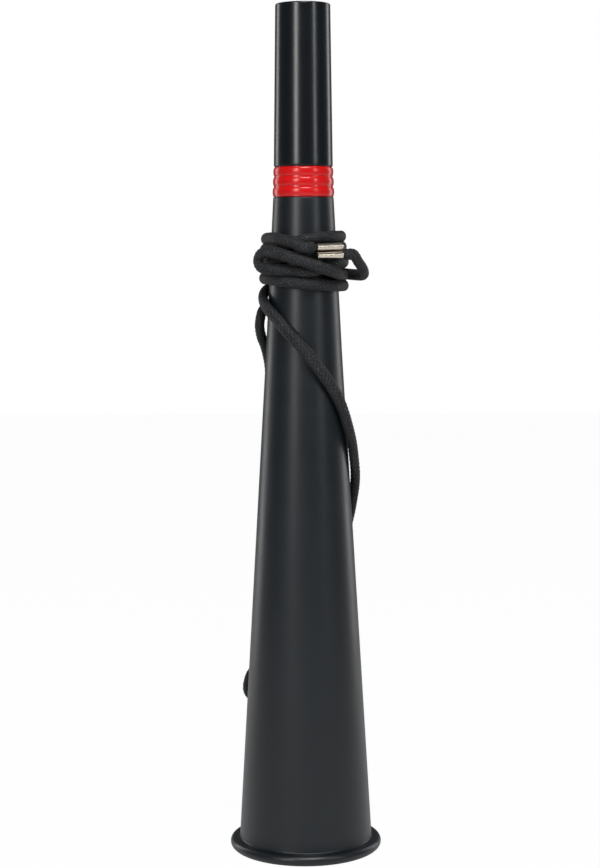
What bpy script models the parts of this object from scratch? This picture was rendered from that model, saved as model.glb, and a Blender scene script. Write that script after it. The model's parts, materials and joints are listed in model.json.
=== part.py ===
"""A stadium horn standing on its bell: a long tapered bell, a red ribbed collar, a mouth tube with a reed
cartridge at its foot, and a braided carry cord wound round the neck of the bell. Metres, +Z up, the front at -Y.
"""

import math

import bmesh
import bpy
import numpy as np
from mathutils import Matrix, Vector

# Fits
GAP = 0.0003  # between pieces that touch
TURNED_STEPS = 60  # facets round a large turned piece

# Bell
BELL_LENGTH = 0.4972
BELL_WALL = 0.0022
THROAT_RADIUS = 0.0227  # outside, under the collar
NECK_LENGTH = 0.117  # from the throat down to where the taper opens
NECK_FOOT_RADIUS = 0.0288
MOUTH_RADIUS = 0.0508  # outside, where the wall meets the bead
BEAD_HEIGHT = 0.0081
BEAD_REACH = 0.0072
BEAD_FOOT_WIDTH = 0.0045  # flat ring that the horn stands on
SOCKET_DEPTH = 0.0185  # straight bore at the throat for the collar's lower spigot

# Collar
COLLAR_HEIGHT = 0.0223
COLLAR_TOP_RADIUS = 0.0216
COLLAR_TAPER = 0.0003  # each rib is this much larger than the one above
RIB_RISE = 0.0008
RIB_COUNT = 3
SPIGOT_LENGTH = 0.0165
SPIGOT_WALL = 0.0046
SEAL_GROOVE_DEPTH = 0.0020
SEAL_GROOVE_WIDTH = 0.0024
SEAL_FROM_COLLAR = 0.0080

# Mouth tube
TUBE_LENGTH = 0.1199
TUBE_TOP_RADIUS = 0.0205
TUBE_FOOT_RADIUS = 0.0221
TUBE_WALL = 0.0022
TUBE_SOCKET_DEPTH = 0.0185
TUBE_LIP_ROUND = 0.0008

# Reed cartridge
PLUG_DEPTH = 0.0120
FLANGE_THICKNESS = 0.0025
FLANGE_OVERLAP = 0.0025  # how far the flange rests on the spigot's rim
BLOCK_RADIUS = 0.0070
BLOCK_HEIGHT = 0.0330
TABLE_OFFSET = 0.0022  # the flat face lies this far in front of the axis
AIRWAY_RADIUS = 0.0032
SLOT_WIDTH = 0.0052
SLOT_LENGTH = 0.0190
SLOT_FROM_FLANGE = 0.0095
PAD_HEIGHT = 0.0080
PAD_RISE = 0.0009
TONGUE_WIDTH = 0.0078
TONGUE_LENGTH = 0.0290
TONGUE_THICKNESS = 0.00045
CLAMP_WIDTH = 0.0094
CLAMP_HEIGHT = 0.0060
CLAMP_THICKNESS = 0.0012
SCREW_SPACING = 0.0048
SCREW_HEAD_RADIUS = 0.0017
SCREW_HEAD_HEIGHT = 0.0011
SCREW_SHANK_RADIUS = 0.0008
SCREW_SHANK_LENGTH = 0.0048

# Strap eye moulded on the back of the bell
EYE_AZIMUTH = -140.0  # degrees from the front, positive towards +X
EYE_HEIGHT = 0.1110
EYE_STANDOFF = 0.0072  # centre of the hole from the wall
EYE_HOLE_RADIUS = 0.0044
EYE_RIM = 0.0032
EYE_THICKNESS = 0.0050
EYE_FOOT_LENGTH = 0.0270

# Carry cord
CORD_RADIUS = 0.0035
SNUG = CORD_RADIUS + 0.0006  # a strand's standoff where it lies on the bell
CROSSING = SNUG + 2 * CORD_RADIUS + 0.0006  # standoff where it lies on another strand
LOOP_POINTS = 24

# Crimp sleeve, two barrels side by side
SLEEVE_AZIMUTH = 26.0
SLEEVE_RADIUS = 0.0351  # distance of its axes from the horn's axis
SLEEVE_SLIDE = 0.0040  # along its own axis, off the foot of that radius
SLEEVE_LENGTH = 0.0210
SLEEVE_UPPER_HEIGHT = 0.4604
BARREL_SPACING = 0.0063
BARREL_RADIUS = 0.0026
BARREL_WALL = 0.00045
SLEEVE_TILT = 2.0  # degrees, right end up
SEAM_WIDTH = 0.0005
SEAM_DEPTH = 0.00025
SEAM_END_MARGIN = 0.0014

# Heights that follow
COLLAR_FOOT = BELL_LENGTH + GAP
COLLAR_TOP = COLLAR_FOOT + COLLAR_HEIGHT
TUBE_FOOT = COLLAR_TOP + GAP
TUBE_TOP = TUBE_FOOT + TUBE_LENGTH
NECK_FOOT = BELL_LENGTH - NECK_LENGTH
BELL_SOCKET_RADIUS = THROAT_RADIUS - BELL_WALL
TUBE_SOCKET_RADIUS = TUBE_FOOT_RADIUS - TUBE_WALL
LOWER_SPIGOT_RADIUS = BELL_SOCKET_RADIUS - GAP
UPPER_SPIGOT_RADIUS = TUBE_SOCKET_RADIUS - GAP
COLLAR_BORE = min(LOWER_SPIGOT_RADIUS, UPPER_SPIGOT_RADIUS) - SPIGOT_WALL
SPIGOT_TOP = COLLAR_TOP + SPIGOT_LENGTH
FLANGE_FOOT = SPIGOT_TOP + GAP
FLANGE_TOP = FLANGE_FOOT + FLANGE_THICKNESS
TABLE_Y = -TABLE_OFFSET
TONGUE_BACK_Y = TABLE_Y - PAD_RISE - GAP
TONGUE_FRONT_Y = TONGUE_BACK_Y - TONGUE_THICKNESS
CLAMP_BACK_Y = TONGUE_FRONT_Y - GAP
CLAMP_FRONT_Y = CLAMP_BACK_Y - CLAMP_THICKNESS
TONGUE_ROOT = FLANGE_TOP + 0.0010
SCREW_HEIGHT = TONGUE_ROOT + 0.0005 + CLAMP_HEIGHT / 2


def clear_scene():
    for obj in list(bpy.data.objects):
        bpy.data.objects.remove(obj, do_unlink=True)


def collection(name, helper=False):
    made = bpy.data.collections.new(name)
    bpy.context.scene.collection.children.link(made)
    made.hide_render = helper
    return made


def material(name, colour, roughness, metallic=0.0):
    made = bpy.data.materials.new(name)
    made.use_nodes = True
    made.diffuse_color = (*colour, 1.0)
    shader = made.node_tree.nodes["Principled BSDF"]
    shader.inputs["Base Color"].default_value = (*colour, 1.0)
    shader.inputs["Roughness"].default_value = roughness
    shader.inputs["Metallic"].default_value = metallic
    return made


def link(obj, group, surface=None):
    group.objects.link(obj)
    if surface:
        obj.data.materials.append(surface)
    return obj


def arc(centre, radius, start, end, points):
    """Points of an arc in the profile plane, angles in degrees, as (radius, height) pairs."""
    angles = np.radians(np.linspace(start, end, points))
    return [(centre[0] + radius * math.cos(a), centre[1] + radius * math.sin(a)) for a in angles]


def turned(name, profile, group, surface, steps=TURNED_STEPS, closed=True):
    """A profile in the XZ plane, given down its outer side, turned about Z."""
    mesh = bpy.data.meshes.new(name)
    points = [(r, 0.0, z) for r, z in profile]
    edges = [(i, i + 1) for i in range(len(points) - 1)]
    if closed:
        edges.append((len(points) - 1, 0))
    mesh.from_pydata(points, edges, [])
    obj = link(bpy.data.objects.new(name, mesh), group, surface)
    screw = obj.modifiers.new("Turn", "SCREW")
    screw.axis = "Z"
    screw.steps = screw.render_steps = steps
    screw.use_merge_vertices = True
    screw.merge_threshold = 0.00001
    screw.use_smooth_shade = True
    return obj


def extruded(name, outline, depth, group, surface=None):
    """A flat outline in the local XY plane, filled and extruded to the full depth about that plane."""
    curve = bpy.data.curves.new(name, "CURVE")
    curve.dimensions = "2D"
    curve.fill_mode = "BOTH"
    curve.extrude = depth / 2
    spline = curve.splines.new("POLY")
    spline.points.add(len(outline) - 1)
    for point, (x, y) in zip(spline.points, outline):
        point.co = (x, y, 0.0, 1.0)
    spline.use_cyclic_u = True
    flat = bpy.data.objects.new(name + "_outline", curve)
    bpy.context.scene.collection.objects.link(flat)
    solid = as_mesh(flat, name)
    bpy.data.objects.remove(flat, do_unlink=True)
    return link(solid, group, surface)


def as_mesh(obj, name):
    """The evaluated shape of an object as a welded mesh object of its own."""
    bpy.context.view_layer.update()
    graph = bpy.context.evaluated_depsgraph_get()
    mesh = bpy.data.meshes.new_from_object(obj.evaluated_get(graph))
    shape = bmesh.new()
    shape.from_mesh(mesh)
    bmesh.ops.remove_doubles(shape, verts=shape.verts, dist=0.000001)
    bmesh.ops.recalc_face_normals(shape, faces=shape.faces)
    shape.to_mesh(mesh)
    shape.free()
    made = bpy.data.objects.new(name, mesh)
    made.matrix_world = obj.matrix_world
    return made


def box(name, size, centre, group, surface=None):
    mesh = bpy.data.meshes.new(name)
    shape = bmesh.new()
    bmesh.ops.create_cube(shape, size=1.0)
    bmesh.ops.scale(shape, vec=size, verts=shape.verts)
    shape.to_mesh(mesh)
    shape.free()
    obj = link(bpy.data.objects.new(name, mesh), group, surface)
    obj.location = centre
    return obj


def rod(name, radius, length, centre, direction, group, segments=24):
    mesh = bpy.data.meshes.new(name)
    shape = bmesh.new()
    bmesh.ops.create_cone(shape, cap_ends=True, segments=segments, radius1=radius, radius2=radius, depth=length)
    shape.to_mesh(mesh)
    shape.free()
    obj = link(bpy.data.objects.new(name, mesh), group)
    obj.matrix_world = Matrix.Translation(centre) @ Vector(direction).to_track_quat("Z", "Y").to_matrix().to_4x4()
    return obj


def cut(obj, cutter, operation="DIFFERENCE"):
    """A Boolean of one mesh with another, which stays as a hidden helper."""
    cutter.hide_render = True
    cutter.display_type = "WIRE"
    step = obj.modifiers.new(cutter.name, "BOOLEAN")
    step.operation = operation
    step.solver = "EXACT"
    step.object = cutter


def bell_radius(height):
    """Outer radius of the bell's wall."""
    if height > NECK_FOOT:
        share = (BELL_LENGTH - height) / NECK_LENGTH
        return THROAT_RADIUS + share * (NECK_FOOT_RADIUS - THROAT_RADIUS)
    share = (NECK_FOOT - height) / (NECK_FOOT - BEAD_HEIGHT)
    return NECK_FOOT_RADIUS + min(share, 1.0) * (MOUTH_RADIUS - NECK_FOOT_RADIUS)


def around(azimuth, height, standoff):
    """A place outside the bell: degrees from the front, height, and distance from the wall."""
    reach = bell_radius(height) + standoff
    angle = math.radians(azimuth)
    return Vector((reach * math.sin(angle), -reach * math.cos(angle), height))


def build_bell(group, helpers, surface):
    bead_inner = MOUTH_RADIUS - BELL_WALL
    bead_centre = (MOUTH_RADIUS + BEAD_REACH - BEAD_HEIGHT / 2, BEAD_HEIGHT / 2)
    foot_end = bead_inner + BEAD_FOOT_WIDTH
    outer_round = arc(bead_centre, BEAD_HEIGHT / 2, 90, -70, 9)
    outside = [
        (THROAT_RADIUS - 0.0004, BELL_LENGTH),
        (THROAT_RADIUS, BELL_LENGTH - 0.0004),
        (bell_radius(NECK_FOOT + 0.040), NECK_FOOT + 0.040),
        (NECK_FOOT_RADIUS, NECK_FOOT),
        (bell_radius(0.250), 0.250),
        (bell_radius(0.125), 0.125),
        (MOUTH_RADIUS, BEAD_HEIGHT),
    ]
    inside = [
        (bead_inner, 0.0006),
        (bead_inner - 0.0004, BEAD_HEIGHT),
        (bell_radius(0.125) - BELL_WALL, 0.125),
        (bell_radius(0.250) - BELL_WALL, 0.250),
        (NECK_FOOT_RADIUS - BELL_WALL, NECK_FOOT),
        (bell_radius(BELL_LENGTH - SOCKET_DEPTH - 0.002) - BELL_WALL, BELL_LENGTH - SOCKET_DEPTH - 0.002),
        (BELL_SOCKET_RADIUS, BELL_LENGTH - SOCKET_DEPTH),
        (BELL_SOCKET_RADIUS, BELL_LENGTH - 0.0006),
        (BELL_SOCKET_RADIUS + 0.0005, BELL_LENGTH),
    ]
    foot = [(foot_end, 0.0), (bead_inner + 0.0006, 0.0)]
    bell = turned("bell", outside + outer_round + foot + inside, group, surface)
    add_strap_eye(bell, helpers)
    return bell


def add_strap_eye(bell, helpers):
    """An ear on the wall, in a plane through the horn's axis, with a hole for the cord."""
    slope = math.atan2(bell_radius(EYE_HEIGHT) - bell_radius(EYE_HEIGHT + 0.1), 0.1)
    sunk = -BELL_WALL / 2
    half_foot = EYE_FOOT_LENGTH / 2
    outer = EYE_HOLE_RADIUS + EYE_RIM
    # In the ear's own plane, X points out from the wall and Y up along it.
    crown = [(EYE_STANDOFF + outer * math.cos(a), outer * math.sin(a)) for a in np.radians(np.linspace(-75, 75, 13))]
    outline = [(sunk, -half_foot), (0.0012, -half_foot + 0.0008)] + crown + [(0.0012, half_foot - 0.0008), (sunk, half_foot)]
    ear = extruded("strap_eye", outline, EYE_THICKNESS, helpers)
    angle = math.radians(EYE_AZIMUTH)
    out = Vector((math.sin(angle), -math.cos(angle), 0.0))
    along = Vector((0.0, 0.0, 1.0)) * math.cos(slope) - out * math.sin(slope)
    away = out * math.cos(slope) + Vector((0.0, 0.0, 1.0)) * math.sin(slope)
    side = away.cross(along)
    frame = Matrix((away, along, side)).transposed().to_4x4()
    ear.matrix_world = Matrix.Translation(around(EYE_AZIMUTH, EYE_HEIGHT, 0.0)) @ frame
    hole = rod("strap_hole", EYE_HOLE_RADIUS, EYE_THICKNESS * 3, around(EYE_AZIMUTH, EYE_HEIGHT, EYE_STANDOFF), side, helpers)
    cut(bell, ear, "UNION")
    cut(bell, hole)


def build_collar(group, surface):
    """Ring with three rounded ribs, and a spigot each way with a groove for its seal."""
    rib_pitch = COLLAR_HEIGHT / RIB_COUNT
    outside = [(COLLAR_TOP_RADIUS - 0.0003, COLLAR_TOP)]
    for rib in range(RIB_COUNT):
        top = COLLAR_TOP - rib * rib_pitch
        base = COLLAR_TOP_RADIUS + rib * COLLAR_TAPER
        for share in (0.06, 0.2, 0.38, 0.56, 0.74, 0.9):
            rise = RIB_RISE * math.sin(math.pi * share) ** 0.7
            outside.append((base + rise, top - share * rib_pitch))
    outside.append((COLLAR_TOP_RADIUS + RIB_COUNT * COLLAR_TAPER, COLLAR_FOOT))
    lower_groove = COLLAR_FOOT - SEAL_FROM_COLLAR
    upper_groove = COLLAR_TOP + SEAL_FROM_COLLAR
    lower_spigot = spigot_profile(LOWER_SPIGOT_RADIUS, COLLAR_FOOT, lower_groove, COLLAR_FOOT - SPIGOT_LENGTH, -1)
    upper_spigot = spigot_profile(UPPER_SPIGOT_RADIUS, COLLAR_TOP, upper_groove, SPIGOT_TOP, 1)
    profile = list(reversed(upper_spigot)) + outside + lower_spigot
    return turned("collar", profile, group, surface)


def spigot_profile(radius, shoulder, groove, end, way):
    floor = radius - SEAL_GROOVE_DEPTH
    half = SEAL_GROOVE_WIDTH / 2
    return [
        (radius, shoulder),
        (radius, groove - way * half),
        (floor, groove - way * half),
        (floor, groove + way * half),
        (radius, groove + way * half),
        (radius, end - way * 0.0006),
        (radius - 0.0006, end),
        (COLLAR_BORE, end),
    ]


def build_seal(name, spigot_radius, socket_radius, height, group, surface):
    """An O-ring between the floor of its groove and the socket's bore."""
    inner = spigot_radius - SEAL_GROOVE_DEPTH + GAP
    outer = socket_radius - GAP
    thick = (outer - inner) / 2
    profile = arc(((inner + outer) / 2, height), thick, 90, -225, 8)
    return turned(name, profile, group, surface, steps=48)


def build_mouth_tube(group, surface):
    rim = TUBE_WALL / 2
    top = TUBE_TOP - rim
    outside = arc((TUBE_TOP_RADIUS - rim, top), rim, 90, 0, 5)
    lip = arc((TUBE_FOOT_RADIUS - TUBE_LIP_ROUND, TUBE_FOOT + TUBE_LIP_ROUND), TUBE_LIP_ROUND, 0, -90, 4)
    shoulder = TUBE_FOOT + TUBE_SOCKET_DEPTH
    share = TUBE_SOCKET_DEPTH / TUBE_LENGTH
    bore_at_shoulder = TUBE_SOCKET_RADIUS - share * (TUBE_FOOT_RADIUS - TUBE_TOP_RADIUS) - GAP
    inside = [
        (TUBE_SOCKET_RADIUS + 0.0005, TUBE_FOOT),
        (TUBE_SOCKET_RADIUS, TUBE_FOOT + 0.0005),
        (TUBE_SOCKET_RADIUS, shoulder),
        (bore_at_shoulder, shoulder + 0.0010),
    ] + arc((TUBE_TOP_RADIUS - rim, top), rim, 180, 110, 4)
    return turned("mouth_tube", outside + lip + inside, group, surface)


def build_reed_holder(group, helpers, surface):
    """Plug, flange and a half-round block whose flat table the tongue beats against."""
    plug_radius = COLLAR_BORE - GAP
    flange_radius = COLLAR_BORE + FLANGE_OVERLAP
    profile = [
        (0.0, FLANGE_TOP),
        (flange_radius - 0.0005, FLANGE_TOP),
        (flange_radius, FLANGE_TOP - 0.0005),
        (flange_radius, FLANGE_FOOT),
        (plug_radius, FLANGE_FOOT),
        (plug_radius, SPIGOT_TOP - PLUG_DEPTH + 0.0008),
        (plug_radius - 0.0008, SPIGOT_TOP - PLUG_DEPTH),
        (0.0, SPIGOT_TOP - PLUG_DEPTH),
    ]
    holder = turned("reed_holder", profile, group, surface, steps=48, closed=False)
    half_chord = math.sqrt(BLOCK_RADIUS**2 - TABLE_OFFSET**2)
    reach = math.degrees(math.atan2(-TABLE_OFFSET, half_chord))
    outline = [(BLOCK_RADIUS * math.cos(a), BLOCK_RADIUS * math.sin(a)) for a in np.radians(np.linspace(reach, 180 - reach, 17))]
    height = BLOCK_HEIGHT + FLANGE_THICKNESS / 2
    block = extruded("reed_block", outline, height, helpers)
    block.location.z = FLANGE_TOP - FLANGE_THICKNESS / 2 + height / 2
    pad_depth = PAD_RISE + 0.0010
    pad = box(
        "reed_pad",
        (CLAMP_WIDTH, pad_depth, PAD_HEIGHT + FLANGE_THICKNESS / 2),
        (0.0, TABLE_Y - PAD_RISE + pad_depth / 2, FLANGE_TOP - FLANGE_THICKNESS / 4 + PAD_HEIGHT / 2),
        helpers,
    )
    slot = box(
        "reed_slot",
        (SLOT_WIDTH, TABLE_OFFSET + AIRWAY_RADIUS, SLOT_LENGTH),
        (0.0, TABLE_Y / 2 - AIRWAY_RADIUS / 2, FLANGE_TOP + SLOT_FROM_FLANGE + SLOT_LENGTH / 2),
        helpers,
    )
    airway_foot = SPIGOT_TOP - PLUG_DEPTH - 0.002
    airway_top = FLANGE_TOP + SLOT_FROM_FLANGE + SLOT_LENGTH
    airway = rod(
        "reed_airway",
        AIRWAY_RADIUS,
        airway_top - airway_foot,
        (0.0, 0.0, (airway_top + airway_foot) / 2),
        (0, 0, 1),
        helpers,
    )
    cut(holder, block, "UNION")
    cut(holder, pad, "UNION")
    cut(holder, slot)
    cut(holder, airway)
    for side in (-1, 1):
        depth = 0.0110
        hole = rod(
            f"screw_hole_{side}",
            SCREW_SHANK_RADIUS + GAP,
            depth,
            (side * SCREW_SPACING / 2, CLAMP_FRONT_Y + depth / 2 - 0.0040, SCREW_HEIGHT),
            (0, 1, 0),
            helpers,
            segments=16,
        )
        cut(holder, hole)
    return holder


def pierced_plate(name, size, centre, group, helpers, surface):
    """A flat plate in front of the pad, with the two screw holes."""
    plate = box(name, size, centre, group, surface)
    for side in (-1, 1):
        hole = rod(
            f"{name}_hole_{side}",
            SCREW_SHANK_RADIUS + GAP,
            size[1] * 4,
            (side * SCREW_SPACING / 2, centre[1], SCREW_HEIGHT),
            (0, 1, 0),
            helpers,
            segments=16,
        )
        cut(plate, hole)
    return plate


def build_tongue(group, helpers, surface):
    size = (TONGUE_WIDTH, TONGUE_THICKNESS, TONGUE_LENGTH)
    centre = (0.0, (TONGUE_BACK_Y + TONGUE_FRONT_Y) / 2, TONGUE_ROOT + TONGUE_LENGTH / 2)
    return pierced_plate("reed_tongue", size, centre, group, helpers, surface)


def build_clamp(group, helpers, surface):
    size = (CLAMP_WIDTH, CLAMP_THICKNESS, CLAMP_HEIGHT)
    centre = (0.0, (CLAMP_BACK_Y + CLAMP_FRONT_Y) / 2, SCREW_HEIGHT)
    return pierced_plate("reed_clamp", size, centre, group, helpers, surface)


def build_screw(index, side, group, helpers, surface):
    """A slotted pan-head screw, turned about its own axis and then laid along Y."""
    head = SCREW_HEAD_HEIGHT
    dome = [(SCREW_HEAD_RADIUS * math.sin(a), head * (0.45 + 0.55 * math.cos(a))) for a in np.radians([0, 30, 60, 90])]
    profile = dome + [
        (SCREW_HEAD_RADIUS, 0.0),
        (SCREW_SHANK_RADIUS, 0.0),
        (SCREW_SHANK_RADIUS, -SCREW_SHANK_LENGTH + 0.0004),
        (0.0, -SCREW_SHANK_LENGTH),
    ]
    screw = turned(f"reed_screw_{index}", profile, group, surface, steps=16, closed=False)
    screw.location = (side * SCREW_SPACING / 2, CLAMP_FRONT_Y - GAP, SCREW_HEIGHT)
    screw.rotation_euler = (math.radians(90), 0.0, 0.0)
    slot = box(
        f"screw_slot_{index}",
        (SCREW_HEAD_RADIUS * 3, 0.0008, 0.0004),
        (screw.location.x, CLAMP_FRONT_Y - GAP - head, SCREW_HEIGHT),
        helpers,
    )
    cut(screw, slot)
    return screw


def sleeve_frame():
    """Centre of the sleeve, its axis towards +X, and the way its barrels are stacked."""
    angle = math.radians(SLEEVE_AZIMUTH)
    tilt = math.radians(SLEEVE_TILT)
    out = Vector((math.sin(angle), -math.cos(angle), 0.0))
    level = Vector((math.cos(angle), math.sin(angle), 0.0))
    axis = level * math.cos(tilt) + Vector((0, 0, 1)) * math.sin(tilt)
    up = out.cross(axis)
    centre = out * SLEEVE_RADIUS + level * SLEEVE_SLIDE
    centre.z = SLEEVE_UPPER_HEIGHT - BARREL_SPACING / 2
    return centre, axis, up, out


def build_sleeve(group, helpers, surface):
    """One strip rolled into two barrels: a figure-of-eight section with a bore and a seam in each."""
    centre, axis, up, out = sleeve_frame()
    half = BARREL_SPACING / 2
    waist = math.degrees(math.acos(0.8 * half / BARREL_RADIUS)) if half * 0.8 < BARREL_RADIUS else 20.0
    upper = [
        (half + BARREL_RADIUS * math.cos(a), BARREL_RADIUS * math.sin(a))
        for a in np.radians(np.linspace(-180 + waist, 180 - waist, 17))
    ]
    outline = upper + [(-x, -y) for x, y in upper]
    sleeve = extruded("crimp_sleeve", outline, SLEEVE_LENGTH, group, surface)
    # The section's own X stacks the barrels, its Y points out from the horn, and its Z runs along them.
    frame = Matrix((up, out, axis)).transposed().to_4x4()
    if frame.determinant() < 0:
        frame = Matrix((up, -out, axis)).transposed().to_4x4()
    sleeve.matrix_world = Matrix.Translation(centre) @ frame
    for name, side in (("upper", 1), ("lower", -1)):
        middle = centre + up * (side * half)
        bore = rod(f"bore_{name}", BARREL_RADIUS - BARREL_WALL, SLEEVE_LENGTH * 1.5, middle, axis, helpers, segments=20)
        cut(sleeve, bore)
        seam = box(
            f"seam_{name}",
            (SEAM_WIDTH, SEAM_DEPTH * 2, SLEEVE_LENGTH - SEAM_END_MARGIN),
            (0.0, 0.0, 0.0),
            helpers,
        )
        seam.matrix_world = Matrix.Translation(middle + out * BARREL_RADIUS - axis * SEAM_END_MARGIN) @ frame
        cut(sleeve, seam)
    return sleeve


def as_station(place):
    """The (azimuth, height, standoff) of a place, the reverse of around."""
    reach = math.hypot(place.x, place.y)
    return math.degrees(math.atan2(place.x, -place.y)), place.z, reach - bell_radius(place.z)


def monotone_slopes(steps, values):
    """Slopes at the knots of a cubic that never overshoots them."""
    grade = np.diff(values) / steps
    slopes = np.zeros(len(values))
    slopes[0], slopes[-1] = grade[0], grade[-1]
    for i in range(1, len(values) - 1):
        if grade[i - 1] * grade[i] > 0:
            before, after = 2 * steps[i] + steps[i - 1], steps[i] + 2 * steps[i - 1]
            slopes[i] = (before + after) / (before / grade[i - 1] + after / grade[i])
    return slopes


def smooth_line(stations):
    """Places every half millimetre along a smooth line through the stations, worked out round the horn's axis,
    with the distance walked to each of them and to each station."""
    knots = np.array(stations, float)
    places = np.array([around(*knot) for knot in knots])
    steps = np.linalg.norm(np.diff(places, axis=0), axis=1)
    at = np.concatenate([[0.0], np.cumsum(steps)])
    slopes = [monotone_slopes(steps, knots[:, axis]) for axis in range(3)]
    fine = np.linspace(0.0, at[-1], int(at[-1] / 0.0005))
    which = np.clip(np.searchsorted(at, fine, side="right") - 1, 0, len(steps) - 1)
    length = steps[which]
    t = (fine - at[which]) / length
    line = []
    for axis in range(3):
        start, end = knots[which, axis], knots[which + 1, axis]
        leave, arrive = slopes[axis][which] * length, slopes[axis][which + 1] * length
        line.append(
            (2 * t**3 - 3 * t**2 + 1) * start
            + (t**3 - 2 * t**2 + t) * leave
            + (3 * t**2 - 2 * t**3) * end
            + (t**3 - t**2) * arrive
        )
    path = np.array([around(*station) for station in np.array(line).T])
    walked = np.concatenate([[0.0], np.cumsum(np.linalg.norm(np.diff(path, axis=0), axis=1))])
    return path, walked, np.interp(at, fine, walked)


def places_at(path, walked, distances):
    return np.stack([np.interp(distances, walked, path[:, axis]) for axis in range(3)], axis=1)


def stretch(path, walked, start, end, spacing):
    """Evenly spaced places from one walked distance to another."""
    count = max(int(round((end - start) / spacing)), 1)
    return places_at(path, walked, np.linspace(start, end, count + 1))


def sleeve_entry(side, way):
    """Where a cord end enters a barrel: its tip, the barrel's mouth, and the straight run outside it."""
    centre, axis, up, _ = sleeve_frame()
    middle = centre + up * (side * BARREL_SPACING / 2)
    tip = middle - axis * way * (SLEEVE_LENGTH / 2 - 0.0010)
    mouth = middle + axis * way * (SLEEVE_LENGTH / 2)
    outside = [mouth + axis * way * CORD_RADIUS * 2 * share for share in (0.4, 0.8, 1.2)]
    return tip, mouth, outside


# The cord's stations, as (degrees from the front, height, standoff from the wall) in the order that it runs.
# The wraps name each strand's crossings, and smooth_line works out the turns between them. The upper wrap goes
# from the upper barrel left over the front, behind, back to a bight at the left, and round again.
UPPER_WRAP = [
    (-15, 0.4640, CROSSING + 0.0003),
    (-30, 0.4660, 0.0107),
    (-45, 0.4669, 0.0074),
    (-68, 0.4668, SNUG),
    (-90, 0.4662, SNUG),
    (-120, 0.4657, 0.0052),
    (-150, 0.4640, 0.0093),
    (-180, 0.4600, CROSSING),
    (-210, 0.4550, CROSSING),
    (-226, 0.4520, CROSSING),
    (-244, 0.4494, 0.0086),
    (-270, 0.4482, SNUG),
    (-300, 0.4476, SNUG),
    (-330, 0.4448, SNUG),
    (-355, 0.4414, SNUG),
    (-372, 0.4424, SNUG),
    (-392, 0.4434, 0.0072),
    (-407, 0.4441, 0.0104),
    (-418, 0.4456, 0.0124),
    (-423, 0.4503, 0.0130),
    (-418, 0.4550, 0.0126),
    (-408, 0.4570, CROSSING),
    (-390, 0.4556, CROSSING),
    (-375, 0.4526, CROSSING),
    (-355, 0.4486, CROSSING),
    (-335, 0.4440, CROSSING),
    (-320, 0.4414, 0.0106),
    (-305, 0.4398, 0.0068),
    (-290, 0.4391, 0.0043),
    (-270, 0.4389, SNUG),
    (-240, 0.4386, SNUG),
    (-210, 0.4373, SNUG),
    (-180, 0.4347, SNUG),
    (-150, 0.4322, SNUG),
    (-130, 0.4303, SNUG),
]


# The lower wrap, from the lower barrel out to a slack bight at the right, then three turns down the neck.
LOWER_TURNS = 3
LOWER_WRAP = [
    (68, 0.4487, 0.0188),
    (77, 0.4432, 0.0202),
    (86, 0.4400, 0.0198),
    (94, 0.4390, 0.0175),
    (104, 0.4392, 0.0143),
    (117, 0.4396, 0.0122),
    (135, 0.4404, CROSSING),
    (155, 0.4428, CROSSING),
    (180, 0.4472, CROSSING),
    (210, 0.4532, CROSSING),
    (225, 0.4561, 0.0108),
    (240, 0.4577, 0.0084),
    (255, 0.4584, 0.0056),
    (270, 0.4586, SNUG),
    (300, 0.4590, SNUG),
    (315, 0.4600, SNUG),
    (330, 0.4613, SNUG),
    (345, 0.4634, SNUG),
    (360, 0.4654, SNUG),
    (390, 0.4674, SNUG),
    (420, 0.4679, SNUG),
    (450, 0.4681, SNUG),
    (480, 0.4661, SNUG),
    (510, 0.4624, SNUG),
    (540, 0.4570, SNUG),
    (570, 0.4526, SNUG),
    (600, 0.4508, SNUG),
    (630, 0.4508, SNUG),
    (660, 0.4512, SNUG),
    (690, 0.4528, SNUG),
    (720, 0.4556, SNUG),
    (750, 0.4580, SNUG),
    (780, 0.4594, SNUG),
    (810, 0.4603, SNUG),
    (840, 0.4578, SNUG),
    (870, 0.4532, SNUG),
    (900, 0.4474, SNUG),
    (930, 0.4418, SNUG),
    (960, 0.4384, SNUG),
    (990, 0.4370, SNUG),
    (1020, 0.4363, SNUG),
    (1050, 0.4349, SNUG),
    (1080, 0.4332, SNUG),
    (1110, 0.4321, SNUG),
    (1140, 0.4315, SNUG),
    (1170, 0.4313, SNUG),
    (1200, 0.4306, SNUG),
    (1230, 0.4278, SNUG),
    (1260, 0.4243, SNUG),
    (1285, 0.4204, SNUG),
]


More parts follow.
